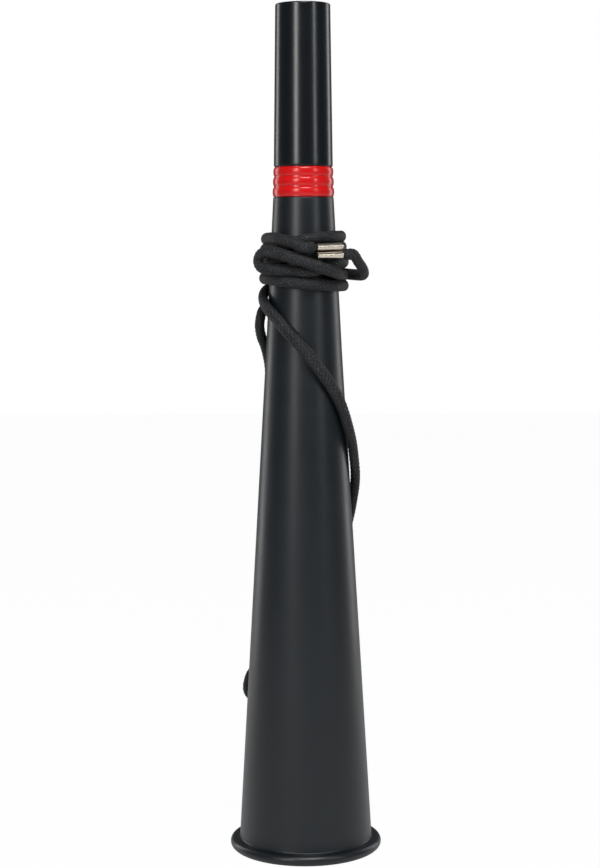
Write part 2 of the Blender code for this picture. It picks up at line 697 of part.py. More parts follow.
# The free run, chosen by hand between the two wraps' ends: down over the front, behind the bell, through the
# strap eye from the right, round a bight at the left and up the back.
FREE_RUN = [
    (-120, 0.4290, SNUG),
    (-105, 0.4264, SNUG),
    (-90, 0.4230, SNUG),
    (-60, 0.4142, SNUG),
    (-38, 0.4063, SNUG),
    (-24, 0.3986, SNUG),
    (-10, 0.3907, SNUG),
    (0, 0.3846, SNUG),
    (25, 0.3657, SNUG),
    (48, 0.3465, SNUG),
    (68, 0.3231, SNUG),
    (82, 0.3072, SNUG),
    (92, 0.2897, 0.0045),
    (112, 0.2665, SNUG),
    (134, 0.2350, SNUG),
    (155, 0.2000, SNUG),
    (172, 0.1650, SNUG),
    (188, 0.1380, SNUG),
    (200, 0.1220, 0.0048),
    (208, 0.1150, 0.0062),
    (214, 0.1121, EYE_STANDOFF),
    (220, EYE_HEIGHT, EYE_STANDOFF),
    (226, 0.1106, EYE_STANDOFF),
    (232, 0.1112, 0.0068),
    (240, 0.1144, 0.0060),
    (245, 0.1205, 0.0052),
    (243, 0.1270, 0.0046),
    (236, 0.1318, 0.0042),
    (229, 0.1380, SNUG),
    (223, 0.1520, SNUG),
    (219, 0.1800, SNUG),
    (217, 0.2300, SNUG),
    (219, 0.2900, SNUG),
    (224, 0.3400, SNUG),
    (232, 0.3700, SNUG),
    (243, 0.3850, 0.0046),
    (254, 0.3930, 0.0056),
    (262, 0.4020, 0.0062),
    (256, 0.4110, 0.0056),
    (240, 0.4158, 0.0046),
    (222, 0.4184, SNUG),
]


def cord_tube(name, places, radii, sides_level, group, surface):
    """One unbroken tube through the places, each with its own radius."""
    curve = bpy.data.curves.new(name, "CURVE")
    curve.dimensions = "3D"
    curve.bevel_depth = CORD_RADIUS
    curve.bevel_resolution = sides_level
    curve.use_fill_caps = True
    spline = curve.splines.new("POLY")
    spline.points.add(len(places) - 1)
    for point, place, radius in zip(spline.points, places, radii):
        point.co = (*place, 1.0)
        point.radius = radius / CORD_RADIUS
    spline.use_smooth = True
    return link(bpy.data.objects.new(name, curve), group, surface)


def cord_stations():
    """The stations of the whole cord from tip to tip, and the numbers of those where its wraps end."""
    _, _, upper_entry = sleeve_entry(1, -1)
    _, _, lower_entry = sleeve_entry(-1, 1)
    upper = [as_station(place) for place in upper_entry] + UPPER_WRAP
    lower = [as_station(place) for place in lower_entry] + LOWER_WRAP
    lower = [(azimuth - 360 * LOWER_TURNS, height, off) for azimuth, height, off in reversed(lower)]
    return upper + FREE_RUN + lower, len(upper) - 1, len(upper) + len(FREE_RUN)


def squared_end(path, walked, cut, way):
    """Two places, the outer half a gap short of a cut, that end a piece straight for one cord diameter."""
    place = places_at(path, walked, [cut])[0]
    before, after = places_at(path, walked, [cut - 0.001, cut + 0.001])
    along = (after - before) / np.linalg.norm(after - before)
    return [place + way * along * CORD_RADIUS * 2, place + way * along * GAP / 2]


def wound_tube(name, side, way, path, walked, cut, group, surface):
    """A wrap from its tip in a barrel to the end of its turns, 24 points to a turn of the neck."""
    tip, mouth, _ = sleeve_entry(side, way)
    crimped = BARREL_RADIUS - BARREL_WALL - GAP
    swell = mouth + (mouth - tip).normalized() * CORD_RADIUS * 0.25
    turn = 2 * math.pi * (THROAT_RADIUS + SNUG + CORD_RADIUS)
    if side > 0:
        turns = stretch(path, walked, 0.0, cut - CORD_RADIUS * 3, turn / LOOP_POINTS)
    else:
        turns = stretch(path, walked, walked[-1], cut + CORD_RADIUS * 3, -turn / LOOP_POINTS)
    places = [np.array(tip), np.array(mouth), np.array(swell), *turns, *squared_end(path, walked, cut, -side)]
    radii = [crimped] * 3 + [CORD_RADIUS] * (len(places) - 3)
    cord_tube(name, places, radii, 1, group, surface)
    return length_of(places)


def length_of(places):
    return float(np.linalg.norm(np.diff(np.array(places), axis=0), axis=1).sum())


def least_gap(first, second, first_at, second_at):
    """Least distance between two stretches of the cord that aren't neighbours along it, less its diameter."""
    apart = np.linalg.norm(first[:, None] - second[None], axis=2)
    near = np.abs(first_at[:, None] - second_at[None]) < 5.5 * CORD_RADIUS
    apart[near] = np.inf
    return float(apart.min()) - 2 * CORD_RADIUS


def build_cord(group, surface):
    stations, upper_end, lower_end = cord_stations()
    path, walked, marks = smooth_line(stations)
    upper_cut, lower_cut = marks[upper_end], marks[lower_end]
    upper = wound_tube("cord_wrap_upper", 1, -1, path, walked, upper_cut, group, surface)
    lower = wound_tube("cord_wrap_lower", -1, 1, path, walked, lower_cut, group, surface)
    middle = stretch(path, walked, upper_cut + CORD_RADIUS * 3, lower_cut - CORD_RADIUS * 3, CORD_RADIUS * 2.75)
    first, last = squared_end(path, walked, upper_cut, 1), squared_end(path, walked, lower_cut, -1)
    run = [*reversed(first), *middle, *last]
    cord_tube("cord_run", run, [CORD_RADIUS] * len(run), 2, group, surface)

    even = np.linspace(0.0, walked[-1], int(walked[-1] / 0.0012))
    fine = places_at(path, walked, even)
    parts = {
        "upper wrap": even < upper_cut,
        "run": (even >= upper_cut) & (even <= lower_cut),
        "lower wrap": even > lower_cut,
    }
    names = list(parts)
    for i, name in enumerate(names):
        for other in names[i:]:
            here, there = parts[name], parts[other]
            gap = least_gap(fine[here], fine[there], even[here], even[there])
            print(f"least gap, {name} to {'itself' if other == name else other}: {gap * 1000:.2f} mm")
    print(f"cord lengths: {upper * 1000:.0f} + {length_of(run) * 1000:.0f} + {lower * 1000:.0f} mm")


def build_horn():
    clear_scene()
    horn = collection("stadium_horn")
    helpers = collection("helpers", helper=True)
    black = material("satin black plastic", (0.012, 0.017, 0.021), 0.36)
    gloss = material("polished black plastic", (0.010, 0.013, 0.017), 0.24)
    red = material("red plastic", (0.58, 0.006, 0.010), 0.30)
    rubber = material("black rubber", (0.02, 0.02, 0.02), 0.75)
    ivory = material("natural acetal", (0.55, 0.53, 0.47), 0.45)
    brass = material("reed brass", (0.62, 0.43, 0.15), 0.28, 1.0)
    steel = material("plated steel", (0.60, 0.59, 0.56), 0.25, 1.0)
    nickel = material("nickel plate", (0.66, 0.62, 0.54), 0.30, 1.0)
    braid = material("black braid", (0.010, 0.010, 0.012), 0.80)

    build_bell(horn, helpers, black)
    build_collar(horn, red)
    build_seal("lower_seal", LOWER_SPIGOT_RADIUS, BELL_SOCKET_RADIUS, COLLAR_FOOT - SEAL_FROM_COLLAR, horn, rubber)
    build_seal("upper_seal", UPPER_SPIGOT_RADIUS, TUBE_SOCKET_RADIUS, COLLAR_TOP + SEAL_FROM_COLLAR, horn, rubber)
    build_mouth_tube(horn, gloss)
    build_reed_holder(horn, helpers, ivory)
    build_tongue(horn, helpers, brass)
    build_clamp(horn, helpers, steel)
    build_screw(1, -1, horn, helpers, steel)
    build_screw(2, 1, horn, helpers, steel)
    build_sleeve(horn, helpers, nickel)
    build_cord(horn, braid)


build_horn()
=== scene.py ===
# %% [markdown]
# # A stadium horn, dressed for its picture
# The solids of the horn come in as a fixed frame. This lesson puts a finished surface over each of them:
# satin and polished black mouldings, a red ribbed collar, a nickel crimp sleeve and a black braided cord.
# Everything is in metres, the horn stands on the floor at the origin, and its front looks along -Y.

# %% Load the frame
import json
import math

import bmesh
import bpy
import numpy as np
from mathutils import Matrix, Vector

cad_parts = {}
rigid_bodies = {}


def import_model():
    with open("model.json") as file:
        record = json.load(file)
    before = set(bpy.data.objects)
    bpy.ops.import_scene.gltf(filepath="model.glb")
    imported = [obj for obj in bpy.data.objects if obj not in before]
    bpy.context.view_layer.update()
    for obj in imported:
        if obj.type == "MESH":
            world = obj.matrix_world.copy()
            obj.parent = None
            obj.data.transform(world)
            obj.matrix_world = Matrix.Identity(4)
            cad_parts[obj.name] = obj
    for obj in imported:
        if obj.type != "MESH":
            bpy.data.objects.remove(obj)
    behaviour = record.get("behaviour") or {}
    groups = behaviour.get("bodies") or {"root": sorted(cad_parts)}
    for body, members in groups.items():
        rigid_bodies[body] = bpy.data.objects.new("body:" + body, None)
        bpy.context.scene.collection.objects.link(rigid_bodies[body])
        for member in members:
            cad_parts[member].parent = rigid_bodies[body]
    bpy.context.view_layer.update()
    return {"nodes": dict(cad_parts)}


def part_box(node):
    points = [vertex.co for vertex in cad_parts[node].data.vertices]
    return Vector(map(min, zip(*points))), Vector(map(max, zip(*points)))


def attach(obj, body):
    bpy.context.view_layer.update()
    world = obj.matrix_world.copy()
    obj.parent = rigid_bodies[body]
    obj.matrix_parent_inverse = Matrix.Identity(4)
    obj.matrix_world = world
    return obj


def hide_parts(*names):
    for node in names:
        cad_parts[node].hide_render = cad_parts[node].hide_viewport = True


for leftover in list(bpy.data.objects):
    bpy.data.objects.remove(leftover, do_unlink=True)
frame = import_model()
scene = bpy.context.scene

# %% [markdown]
# The photograph was taken from a little above the horn's middle with a long lens. The camera could be
# aimed with a Track To constraint, but a fixed place and turn keep the picture's framing exactly, so it
# is set by numbers.

# %% Camera
PICTURE_WIDTH = 600
FOCAL_PIXELS = 1954.0
SENSOR_WIDTH = 36.0
CAMERA_PLACE = (-0.00328, -1.476, 0.458)
CAMERA_DROP = 5.38  # degrees below level
CAMERA_ROLL = -0.23

camera_data = bpy.data.cameras.new("camera")
camera = bpy.data.objects.new("camera", camera_data)
scene.collection.objects.link(camera)
scene.camera = camera
camera_data.sensor_fit = "HORIZONTAL"
camera_data.sensor_width = SENSOR_WIDTH
camera_data.lens = FOCAL_PIXELS / PICTURE_WIDTH * SENSOR_WIDTH
camera.matrix_world = (
    Matrix.Translation(CAMERA_PLACE)
    @ Matrix.Rotation(math.radians(90 - CAMERA_DROP), 4, "X")
    @ Matrix.Rotation(math.radians(CAMERA_ROLL), 4, "Z")
)
print("lens:", round(camera_data.lens, 1), "mm")

# %% [markdown]
# The horn's own sizes come first. The turned pieces have few sides in the solids, which shows in a gloss,
# so the bell, collar and mouth tube are turned again here with finer steps. The heights where pieces meet
# are read from the frame, and the radii and the wall repeat those of the solids.

# %% Sizes
BELL_FOOT, BELL_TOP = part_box("bell")[0].z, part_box("bell")[1].z
TUBE_FOOT, TUBE_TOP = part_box("mouth_tube")[0].z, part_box("mouth_tube")[1].z
THROAT_RADIUS = 0.0227
NECK_FOOT_RADIUS = 0.0288
NECK_LENGTH = 0.117
MOUTH_RADIUS = 0.0508
WALL = 0.0022
BEAD_HEIGHT = 0.0081
BEAD_REACH = 0.0072
SOCKET_DEPTH = 0.0185
TUBE_FOOT_RADIUS = 0.0221
TUBE_TOP_RADIUS = 0.0205
GAP = 0.0003
NECK_FOOT = BELL_TOP - NECK_LENGTH
COLLAR_FOOT = BELL_TOP + GAP
COLLAR_TOP = TUBE_FOOT - GAP
print("bell from", round(BELL_FOOT, 4), "to", round(BELL_TOP, 4))
print("collar from", round(COLLAR_FOOT, 4), "to", round(COLLAR_TOP, 4))


# %% [markdown]
# An effect that several finishes share is a node group with named sockets, built once. These helpers make
# such a group and its most common nodes.

# %% Shader helpers
def new_group(name, inputs, outputs):
    """A shader node group with float or colour sockets, given as {name: default}."""
    group = bpy.data.node_groups.new(name, "ShaderNodeTree")
    for title, value in inputs.items():
        kind = "NodeSocketColor" if isinstance(value, tuple) else "NodeSocketFloat"
        socket = group.interface.new_socket(title, in_out="INPUT", socket_type=kind)
        socket.default_value = (*value, 1.0) if isinstance(value, tuple) else value
    for title, kind in outputs.items():
        group.interface.new_socket(title, in_out="OUTPUT", socket_type=kind)
    entry = group.nodes.new("NodeGroupInput")
    leave = group.nodes.new("NodeGroupOutput")
    return group, entry, leave


def noise(tree, source, scale, detail):
    made = tree.nodes.new("ShaderNodeTexNoise")
    made.inputs["Detail"].default_value = detail
    tree.links.new(source, made.inputs["Vector"])
    if isinstance(scale, (int, float)):
        made.inputs["Scale"].default_value = scale
    else:
        tree.links.new(scale, made.inputs["Scale"])
    return made.outputs["Fac"]


def maths(tree, operation, first, second):
    made = tree.nodes.new("ShaderNodeMath")
    made.operation = operation
    for slot, value in zip(made.inputs, (first, second)):
        if isinstance(value, (int, float)):
            slot.default_value = value
        else:
            tree.links.new(value, slot)
    return made.outputs[0]


def remap(tree, value, low, high, new_low, new_high):
    made = tree.nodes.new("ShaderNodeMapRange")
    tree.links.new(value, made.inputs["Value"])
    for title, number in zip(("From Min", "From Max", "To Min", "To Max"), (low, high, new_low, new_high)):
        made.inputs[title].default_value = number
    return made.outputs["Result"]


def blended(tree, share, first, second):
    made = tree.nodes.new("ShaderNodeMix")
    made.data_type = "RGBA"
    tree.links.new(share, made.inputs[0])
    for slot, value in ((made.inputs[6], first), (made.inputs[7], second)):
        if isinstance(value, tuple):
            slot.default_value = (*value, 1.0)
        else:
            tree.links.new(value, slot)
    return made.outputs[2]


print("shader helpers ready")

# %% [markdown]
# The moulded skin is the shared group. It drifts slowly between two colours, varies the roughness in
# patches, and gives out a fine grain as a height, which each finish turns into a bump of its own depth.

# %% Moulded skin group
DRIFT_SCALE = 14.0  # per metre, like all the noise scales of the mouldings
PATCH_SCALE = 60.0
DRIFT_LOW, DRIFT_HIGH = 0.35, 0.65
skin, skin_in, skin_out = new_group(
    "moulded_skin",
    {
        "Colour": (0.02, 0.02, 0.02),
        "Drift Colour": (0.03, 0.03, 0.03),
        "Roughness": 0.3,
        "Spread": 0.06,
        "Grain Scale": 900.0,
    },
    {"Colour": "NodeSocketColor", "Roughness": "NodeSocketFloat", "Height": "NodeSocketFloat"},
)
skin_place = skin.nodes.new("ShaderNodeTexCoord").outputs["Object"]
slow = noise(skin, skin_place, DRIFT_SCALE, 2.0)
patches = noise(skin, skin_place, PATCH_SCALE, 4.0)
grain = noise(skin, skin_place, skin_in.outputs["Grain Scale"], 2.0)
drift_share = remap(skin, slow, DRIFT_LOW, DRIFT_HIGH, 0.0, 1.0)
drifted = blended(skin, drift_share, skin_in.outputs["Colour"], skin_in.outputs["Drift Colour"])
skin.links.new(drifted, skin_out.inputs["Colour"])
off_middle = maths(skin, "SUBTRACT", patches, 0.5)
spread = maths(skin, "MULTIPLY", off_middle, skin_in.outputs["Spread"])
skin.links.new(maths(skin, "ADD", skin_in.outputs["Roughness"], spread), skin_out.inputs["Roughness"])
skin.links.new(grain, skin_out.inputs["Height"])
print("group:", skin.name, "with", len(skin.nodes), "nodes")


# %% [markdown]
# Each plastic and metal is a Principled finish fed by the skin group. Its row gives two colours that lie
# close together, the roughness and its spread, then the grain's scale per metre and its depth in metres.

# %% Plastics and metals
def principled(name, metallic=0.0, specular=0.5):
    made = bpy.data.materials.new(name)
    made.use_nodes = True
    shader = made.node_tree.nodes["Principled BSDF"]
    shader.inputs["Metallic"].default_value = metallic
    shader.inputs["Specular IOR Level"].default_value = specular
    return made, made.node_tree, shader


def bumped(tree, shader, height, distance, strength=1.0):
    bump = tree.nodes.new("ShaderNodeBump")
    bump.inputs["Distance"].default_value = distance
    bump.inputs["Strength"].default_value = strength
    tree.links.new(height, bump.inputs["Height"])
    tree.links.new(bump.outputs["Normal"], shader.inputs["Normal"])


def moulded(name, colour, drift, rough, spread, grain_scale, grain_depth, **shader_values):
    made, tree, shader = principled(name, **shader_values)
    use = tree.nodes.new("ShaderNodeGroup")
    use.node_tree = skin
    values = (("Colour", (*colour, 1.0)), ("Drift Colour", (*drift, 1.0)), ("Roughness", rough))
    for title, value in (*values, ("Spread", spread), ("Grain Scale", grain_scale)):
        use.inputs[title].default_value = value
    tree.links.new(use.outputs["Colour"], shader.inputs["Base Color"])
    tree.links.new(use.outputs["Roughness"], shader.inputs["Roughness"])
    bumped(tree, shader, use.outputs["Height"], grain_depth)
    return made


satin_black = moulded(
    "satin_black", (0.0030, 0.0058, 0.0085), (0.0042, 0.0072, 0.0102), 0.37, 0.10, 1100.0, 0.00003
)
polished_black = moulded(
    "polished_black", (0.0018, 0.0036, 0.0056), (0.0024, 0.0044, 0.0066), 0.25, 0.06, 700.0, 0.00001
)
collar_red = moulded(
    "collar_red", (0.58, 0.0035, 0.0045), (0.62, 0.0045, 0.0055), 0.24, 0.06, 800.0, 0.00001
)
seal_rubber = moulded(
    "seal_rubber", (0.018, 0.018, 0.018), (0.026, 0.025, 0.024), 0.70, 0.10, 1500.0, 0.00003
)
holder_acetal = moulded(
    "holder_acetal", (0.55, 0.53, 0.47), (0.50, 0.48, 0.42), 0.42, 0.10, 900.0, 0.00001
)
nickel = moulded(
    "nickel_plate", (0.72, 0.67, 0.58), (0.64, 0.58, 0.49), 0.24, 0.08, 500.0, 0.000002, metallic=1.0
)
reed_brass = moulded(
    "reed_brass", (0.62, 0.43, 0.15), (0.54, 0.36, 0.12), 0.28, 0.14, 600.0, 0.00001, metallic=1.0
)
clamp_steel = moulded(
    "clamp_steel", (0.60, 0.59, 0.56), (0.52, 0.51, 0.48), 0.27, 0.12, 600.0, 0.00001, metallic=1.0
)
print("finishes:", [m.name for m in bpy.data.materials])


# %% [markdown]
# A turned piece is a profile swung round the axis. A Screw modifier would do it, and so does a short loop
# that joins ring to ring. The loop is used because it also keeps one clean set of quads with outward
# faces.

# %% Turning helpers
TURN_STEPS = 168
SHARP_ANGLE = 35.0  # degrees; edges that turn more stay crisp


def arc(centre, radius, start, end, points):
    angles = np.radians(np.linspace(start, end, points))
    return [(centre[0] + radius * math.cos(a), centre[1] + radius * math.sin(a)) for a in angles]


def run_down(radius_at, top, foot, step=0.008):
    """Points of an outer wall between two heights, close enough for an even gloss."""
    count = max(2, int((top - foot) / step))
    return [(radius_at(z), z) for z in np.linspace(top, foot, count + 1)]


def smoothed(mesh):
    for face in mesh.polygons:
        face.use_smooth = True


def faced_outwards(mesh, merge=0.0):
    """Turns the faces of a closed mesh outwards, after points closer than the merge distance are joined."""
    shape = bmesh.new()
    shape.from_mesh(mesh)
    if merge > 0.0:
        bmesh.ops.remove_doubles(shape, verts=shape.verts, dist=merge)
    bmesh.ops.recalc_face_normals(shape, faces=shape.faces)
    shape.to_mesh(mesh)
    shape.free()


def placed(mesh, name, finish, sharp_angle=SHARP_ANGLE):
    """Gives a mesh its finish and smooth shading, and puts it in the scene."""
    mesh.materials.clear()
    mesh.materials.append(finish)
    smoothed(mesh)
    mesh.set_sharp_from_angle(angle=math.radians(sharp_angle))
    made = bpy.data.objects.new(name, mesh)
    scene.collection.objects.link(made)
    return made


def mesh_object(name, points, faces, finish, sharp_angle=SHARP_ANGLE):
    mesh = bpy.data.meshes.new(name)
    mesh.from_pydata([tuple(p) for p in points], [], faces)
    return placed(mesh, name, finish, sharp_angle)


def turned(name, profile, finish):
    """A closed profile of (radius, height), given down its outer side, turned about the axis."""
    angles = np.linspace(0.0, 2 * math.pi, TURN_STEPS, endpoint=False)
    points = [(r * math.cos(a), r * math.sin(a), z) for r, z in profile for a in angles]
    faces = []
    for i in range(len(profile)):
        ring_start = i * TURN_STEPS
        below_start = (i + 1) % len(profile) * TURN_STEPS
        for j in range(TURN_STEPS):
            after = (j + 1) % TURN_STEPS
            faces.append((ring_start + j, below_start + j, below_start + after, ring_start + after))
    return mesh_object(name, points, faces, finish)


def dress(piece, body, slot, *nodes):
    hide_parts(*nodes)
    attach(piece, body)
    return piece


print("turning steps:", TURN_STEPS)

# %% [markdown]
# The bell is one moulding: a neck that widens slowly, a cone that widens faster, and a round bead that
# the horn stands on. The wall meets the bead in a small fillet, which catches a thin line of light above
# the bead.

# %% Bell
FILLET = 0.0009
THROAT_EDGE = 0.0004
SIDE_START = 0.003  # below the top, where the plain outer wall begins
FOOT_WIDTH = 0.0045
FOOT_EDGE = 0.0006
BEAD_DRAFT = 0.0004
CONE_KNEE = 0.250
SHOULDER_RUN = 0.002
SOCKET_EDGE = 0.0005
SOCKET_EDGE_DROP = 0.0006


def bell_radius(height):
    """Outer radius of the bell's wall."""
    if height > NECK_FOOT:
        share = (BELL_TOP - height) / NECK_LENGTH
        return THROAT_RADIUS + share * (NECK_FOOT_RADIUS - THROAT_RADIUS)
    share = (NECK_FOOT - height) / (NECK_FOOT - BEAD_HEIGHT)
    return NECK_FOOT_RADIUS + min(share, 1.0) * (MOUTH_RADIUS - NECK_FOOT_RADIUS)


half_bead = BEAD_HEIGHT / 2
bead_inner = MOUTH_RADIUS - WALL
bead_centre = (MOUTH_RADIUS + BEAD_REACH - half_bead, half_bead)
throat_edge = arc((THROAT_RADIUS - THROAT_EDGE, BELL_TOP - THROAT_EDGE), THROAT_EDGE, 90, 0, 4)
fillet = arc((MOUTH_RADIUS + FILLET, BEAD_HEIGHT + FILLET), FILLET, 180, 270, 7)
bead_round = arc(bead_centre, half_bead, 90, -70, 21)
bell_side = run_down(bell_radius, BELL_TOP - SIDE_START, BEAD_HEIGHT + FILLET)
bell_outside = throat_edge + bell_side + fillet[1:] + bead_round
shoulder_foot = BELL_TOP - SOCKET_DEPTH - SHOULDER_RUN
bell_inside = [
    (bead_inner + FOOT_WIDTH, 0.0),
    (bead_inner + FOOT_EDGE, 0.0),
    (bead_inner, FOOT_EDGE),
    (bead_inner - BEAD_DRAFT, BEAD_HEIGHT),
    (bell_radius(CONE_KNEE) - WALL, CONE_KNEE),
    (NECK_FOOT_RADIUS - WALL, NECK_FOOT),
    (bell_radius(shoulder_foot) - WALL, shoulder_foot),
    (THROAT_RADIUS - WALL, BELL_TOP - SOCKET_DEPTH),
    (THROAT_RADIUS - WALL, BELL_TOP - SOCKET_EDGE_DROP),
    (THROAT_RADIUS - WALL + SOCKET_EDGE, BELL_TOP),
]
bell = turned("bell_moulding", bell_outside + bell_inside, satin_black)
dress(bell, "bell", "bell_plastic", "bell")
print("bell:", len(bell.data.polygons), "faces")

# %% [markdown]
# Two helpers serve shapes that start as a curve or a modifier. One adds a closed outline to a flat curve,
# and the other keeps the evaluated object as a plain mesh.

# %% Outline and baking helpers
MERGE_DISTANCE = 0.000002


def add_outline(curve, outline):
    spline = curve.splines.new("POLY")
    spline.points.add(len(outline) - 1)
    for point, (x, y) in zip(spline.points, outline):
        point.co = (x, y, 0.0, 1.0)
    spline.use_cyclic_u = True


def baked(obj, name, finish):
    """The evaluated object as a plain mesh with its place in its points."""
    bpy.context.view_layer.update()
    graph = bpy.context.evaluated_depsgraph_get()
    mesh = bpy.data.meshes.new_from_object(obj.evaluated_get(graph))
    mesh.transform(obj.matrix_world)
    faced_outwards(mesh, MERGE_DISTANCE)
    bpy.data.objects.remove(obj, do_unlink=True)
    return placed(mesh, name, finish)


print("baking merges points within", MERGE_DISTANCE, "m")

# %% [markdown]
# The strap eye is an ear moulded on the back of the bell, low at the left, where the cord turns. It is a
# flat outline with a hole, given its thickness and a small rounded edge by the curve's own extrude and
# bevel.

# %% Strap eye
EYE_AZIMUTH, EYE_HEIGHT, EYE_STANDOFF = -140.0, 0.1110, 0.0072
EYE_HOLE_RADIUS, EYE_RIM, EYE_THICKNESS, EYE_FOOT = 0.0044, 0.0032, 0.0050, 0.0270
EYE_EDGE = 0.0005
# Where the ear leaves the wall: how far out, and how far in from the end of its foot.
EAR_ROOT_OUT, EAR_ROOT_IN = 0.0012, 0.0008
CROWN_HALF_ANGLE = 75
SLOPE_SPAN = 0.1

ear_curve = bpy.data.curves.new("ear", "CURVE")
ear_curve.dimensions = "2D"
ear_curve.fill_mode = "BOTH"
ear_curve.extrude = EYE_THICKNESS / 2 - EYE_EDGE
ear_curve.bevel_depth = EYE_EDGE
ear_curve.bevel_resolution = 2
crown_radius = EYE_HOLE_RADIUS + EYE_RIM - EYE_EDGE
crown_angles = np.radians(np.linspace(-CROWN_HALF_ANGLE, CROWN_HALF_ANGLE, 25))
crown = [(EYE_STANDOFF + crown_radius * math.cos(a), crown_radius * math.sin(a)) for a in crown_angles]
sunk = -WALL / 2
half_foot = EYE_FOOT / 2
ear_outline = [
    (sunk, -half_foot),
    (EAR_ROOT_OUT, -half_foot + EAR_ROOT_IN),
    *crown,
    (EAR_ROOT_OUT, half_foot - EAR_ROOT_IN),
    (sunk, half_foot),
]
hole_radius = EYE_HOLE_RADIUS + EYE_EDGE
hole_angles = np.radians(np.arange(0, 360, 10))
hole = [(EYE_STANDOFF + hole_radius * math.cos(a), hole_radius * math.sin(a)) for a in hole_angles]
add_outline(ear_curve, ear_outline)
add_outline(ear_curve, hole)
ear = bpy.data.objects.new("ear", ear_curve)
scene.collection.objects.link(ear)
eye_angle = math.radians(EYE_AZIMUTH)
eye_slope = math.atan2(bell_radius(EYE_HEIGHT) - bell_radius(EYE_HEIGHT + SLOPE_SPAN), SLOPE_SPAN)
outward = Vector((math.sin(eye_angle), -math.cos(eye_angle), 0.0))
upward = Vector((0.0, 0.0, 1.0))
ear_x = outward * math.cos(eye_slope) + upward * math.sin(eye_slope)
ear_y = upward * math.cos(eye_slope) - outward * math.sin(eye_slope)
eye_place = outward * bell_radius(EYE_HEIGHT) + upward * EYE_HEIGHT
ear_turn = Matrix((ear_x, ear_y, ear_x.cross(ear_y))).transposed().to_4x4()
ear.matrix_world = Matrix.Translation(eye_place) @ ear_turn
strap_eye = baked(ear, "strap_eye", satin_black)
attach(strap_eye, "bell")
print("strap eye:", len(strap_eye.data.polygons), "faces")

# %% [markdown]
# The collar is a red ring between bell and tube with a spigot each way. Its core is turned. The three
# rounded ribs repeat, so a Geometry Nodes tree makes one rib as a swept ellipse and stacks it down the
# core.

# %% Collar core
COLLAR_HEIGHT = COLLAR_TOP - COLLAR_FOOT
CORE_TOP_RADIUS = 0.0216
RIB_COUNT = 3
RIB_RISE = 0.0009
RIB_TAPER = 0.0003
RIB_PITCH = COLLAR_HEIGHT / RIB_COUNT
SPIGOT_LENGTH = 0.0165
SPIGOT_WALL = 0.0046
SEAL_FROM_COLLAR = 0.0080
SEAL_GROOVE = 0.0024
SEAL_DEPTH = 0.0020
SPIGOT_EDGE = 0.0006
CORE_EDGE = 0.0003
CORE_EDGE_DROP = 0.0002
lower_spigot_radius = THROAT_RADIUS - WALL - GAP
upper_spigot_radius = TUBE_FOOT_RADIUS - WALL - GAP
collar_bore = min(lower_spigot_radius, upper_spigot_radius) - SPIGOT_WALL


def spigot(radius, shoulder, way):
    groove = shoulder + way * SEAL_FROM_COLLAR
    end = shoulder + way * SPIGOT_LENGTH
    half = way * SEAL_GROOVE / 2
    return [
        (radius, shoulder),
        (radius, groove - half),
        (radius - SEAL_DEPTH, groove - half),
        (radius - SEAL_DEPTH, groove + half),
        (radius, groove + half),
        (radius, end - way * SPIGOT_EDGE),
        (radius - SPIGOT_EDGE, end),
        (collar_bore, end),
    ]


def core_radius(height):
    return CORE_TOP_RADIUS + RIB_TAPER * (COLLAR_TOP - height) / RIB_PITCH


core_levels = np.linspace(COLLAR_TOP - CORE_EDGE_DROP, COLLAR_FOOT + CORE_EDGE_DROP, 13)
core_side = [(core_radius(z), z) for z in core_levels]
core_profile = [
    *reversed(spigot(upper_spigot_radius, COLLAR_TOP, 1)),
    (core_side[0][0] - CORE_EDGE, COLLAR_TOP),
    *core_side,
    (core_side[-1][0] - CORE_EDGE, COLLAR_FOOT),
    *spigot(lower_spigot_radius, COLLAR_FOOT, -1),
]
collar = turned("collar_core", core_profile, collar_red)
dress(collar, "collar", "collar_plastic", "collar")
print("collar core:", len(collar.data.polygons), "faces")

# %% [markdown]
# The rib tree sweeps an ellipse round a circle for one rib, puts copies of it on a line of points that
# runs down the collar, and widens each copy a little, as the collar widens. Every size is a named input
# of the tree.

# %% Rib tree
RIB_POINTS = 28
RIB_WIDTH_SHARE = 0.43  # half a rib's width as a share of the pitch


def geometry_tree(name, inputs):
    tree = bpy.data.node_groups.new(name, "GeometryNodeTree")
    for title, (kind, value) in inputs.items():
        socket = tree.interface.new_socket(title, in_out="INPUT", socket_type=kind)
        if value is not None:
            socket.default_value = value
    tree.interface.new_socket("Geometry", in_out="OUTPUT", socket_type="NodeSocketGeometry")
    return tree, tree.nodes.new("NodeGroupInput"), tree.nodes.new("NodeGroupOutput")


number, whole, surface = "NodeSocketFloat", "NodeSocketInt", "NodeSocketMaterial"
rib_inputs = {
    "Count": (whole, RIB_COUNT),
    "Pitch": (number, RIB_PITCH),
    "Top Height": (number, COLLAR_TOP - RIB_PITCH / 2),
    "Ring Radius": (number, CORE_TOP_RADIUS),
    "Rise": (number, RIB_RISE),
    "Half Width": (number, RIB_PITCH * RIB_WIDTH_SHARE),
    "Growth": (number, RIB_TAPER / CORE_TOP_RADIUS),
    "Finish": (surface, None),
}
ribs_tree, ribs_in, ribs_out = geometry_tree("collar_ribs", rib_inputs)


def add(tree, kind, **settings):
    node = tree.nodes.new(kind)
    for title, value in settings.items():
        setattr(node, title, value)
    return node


def joined(tree, source, target):
    tree.links.new(source, target)


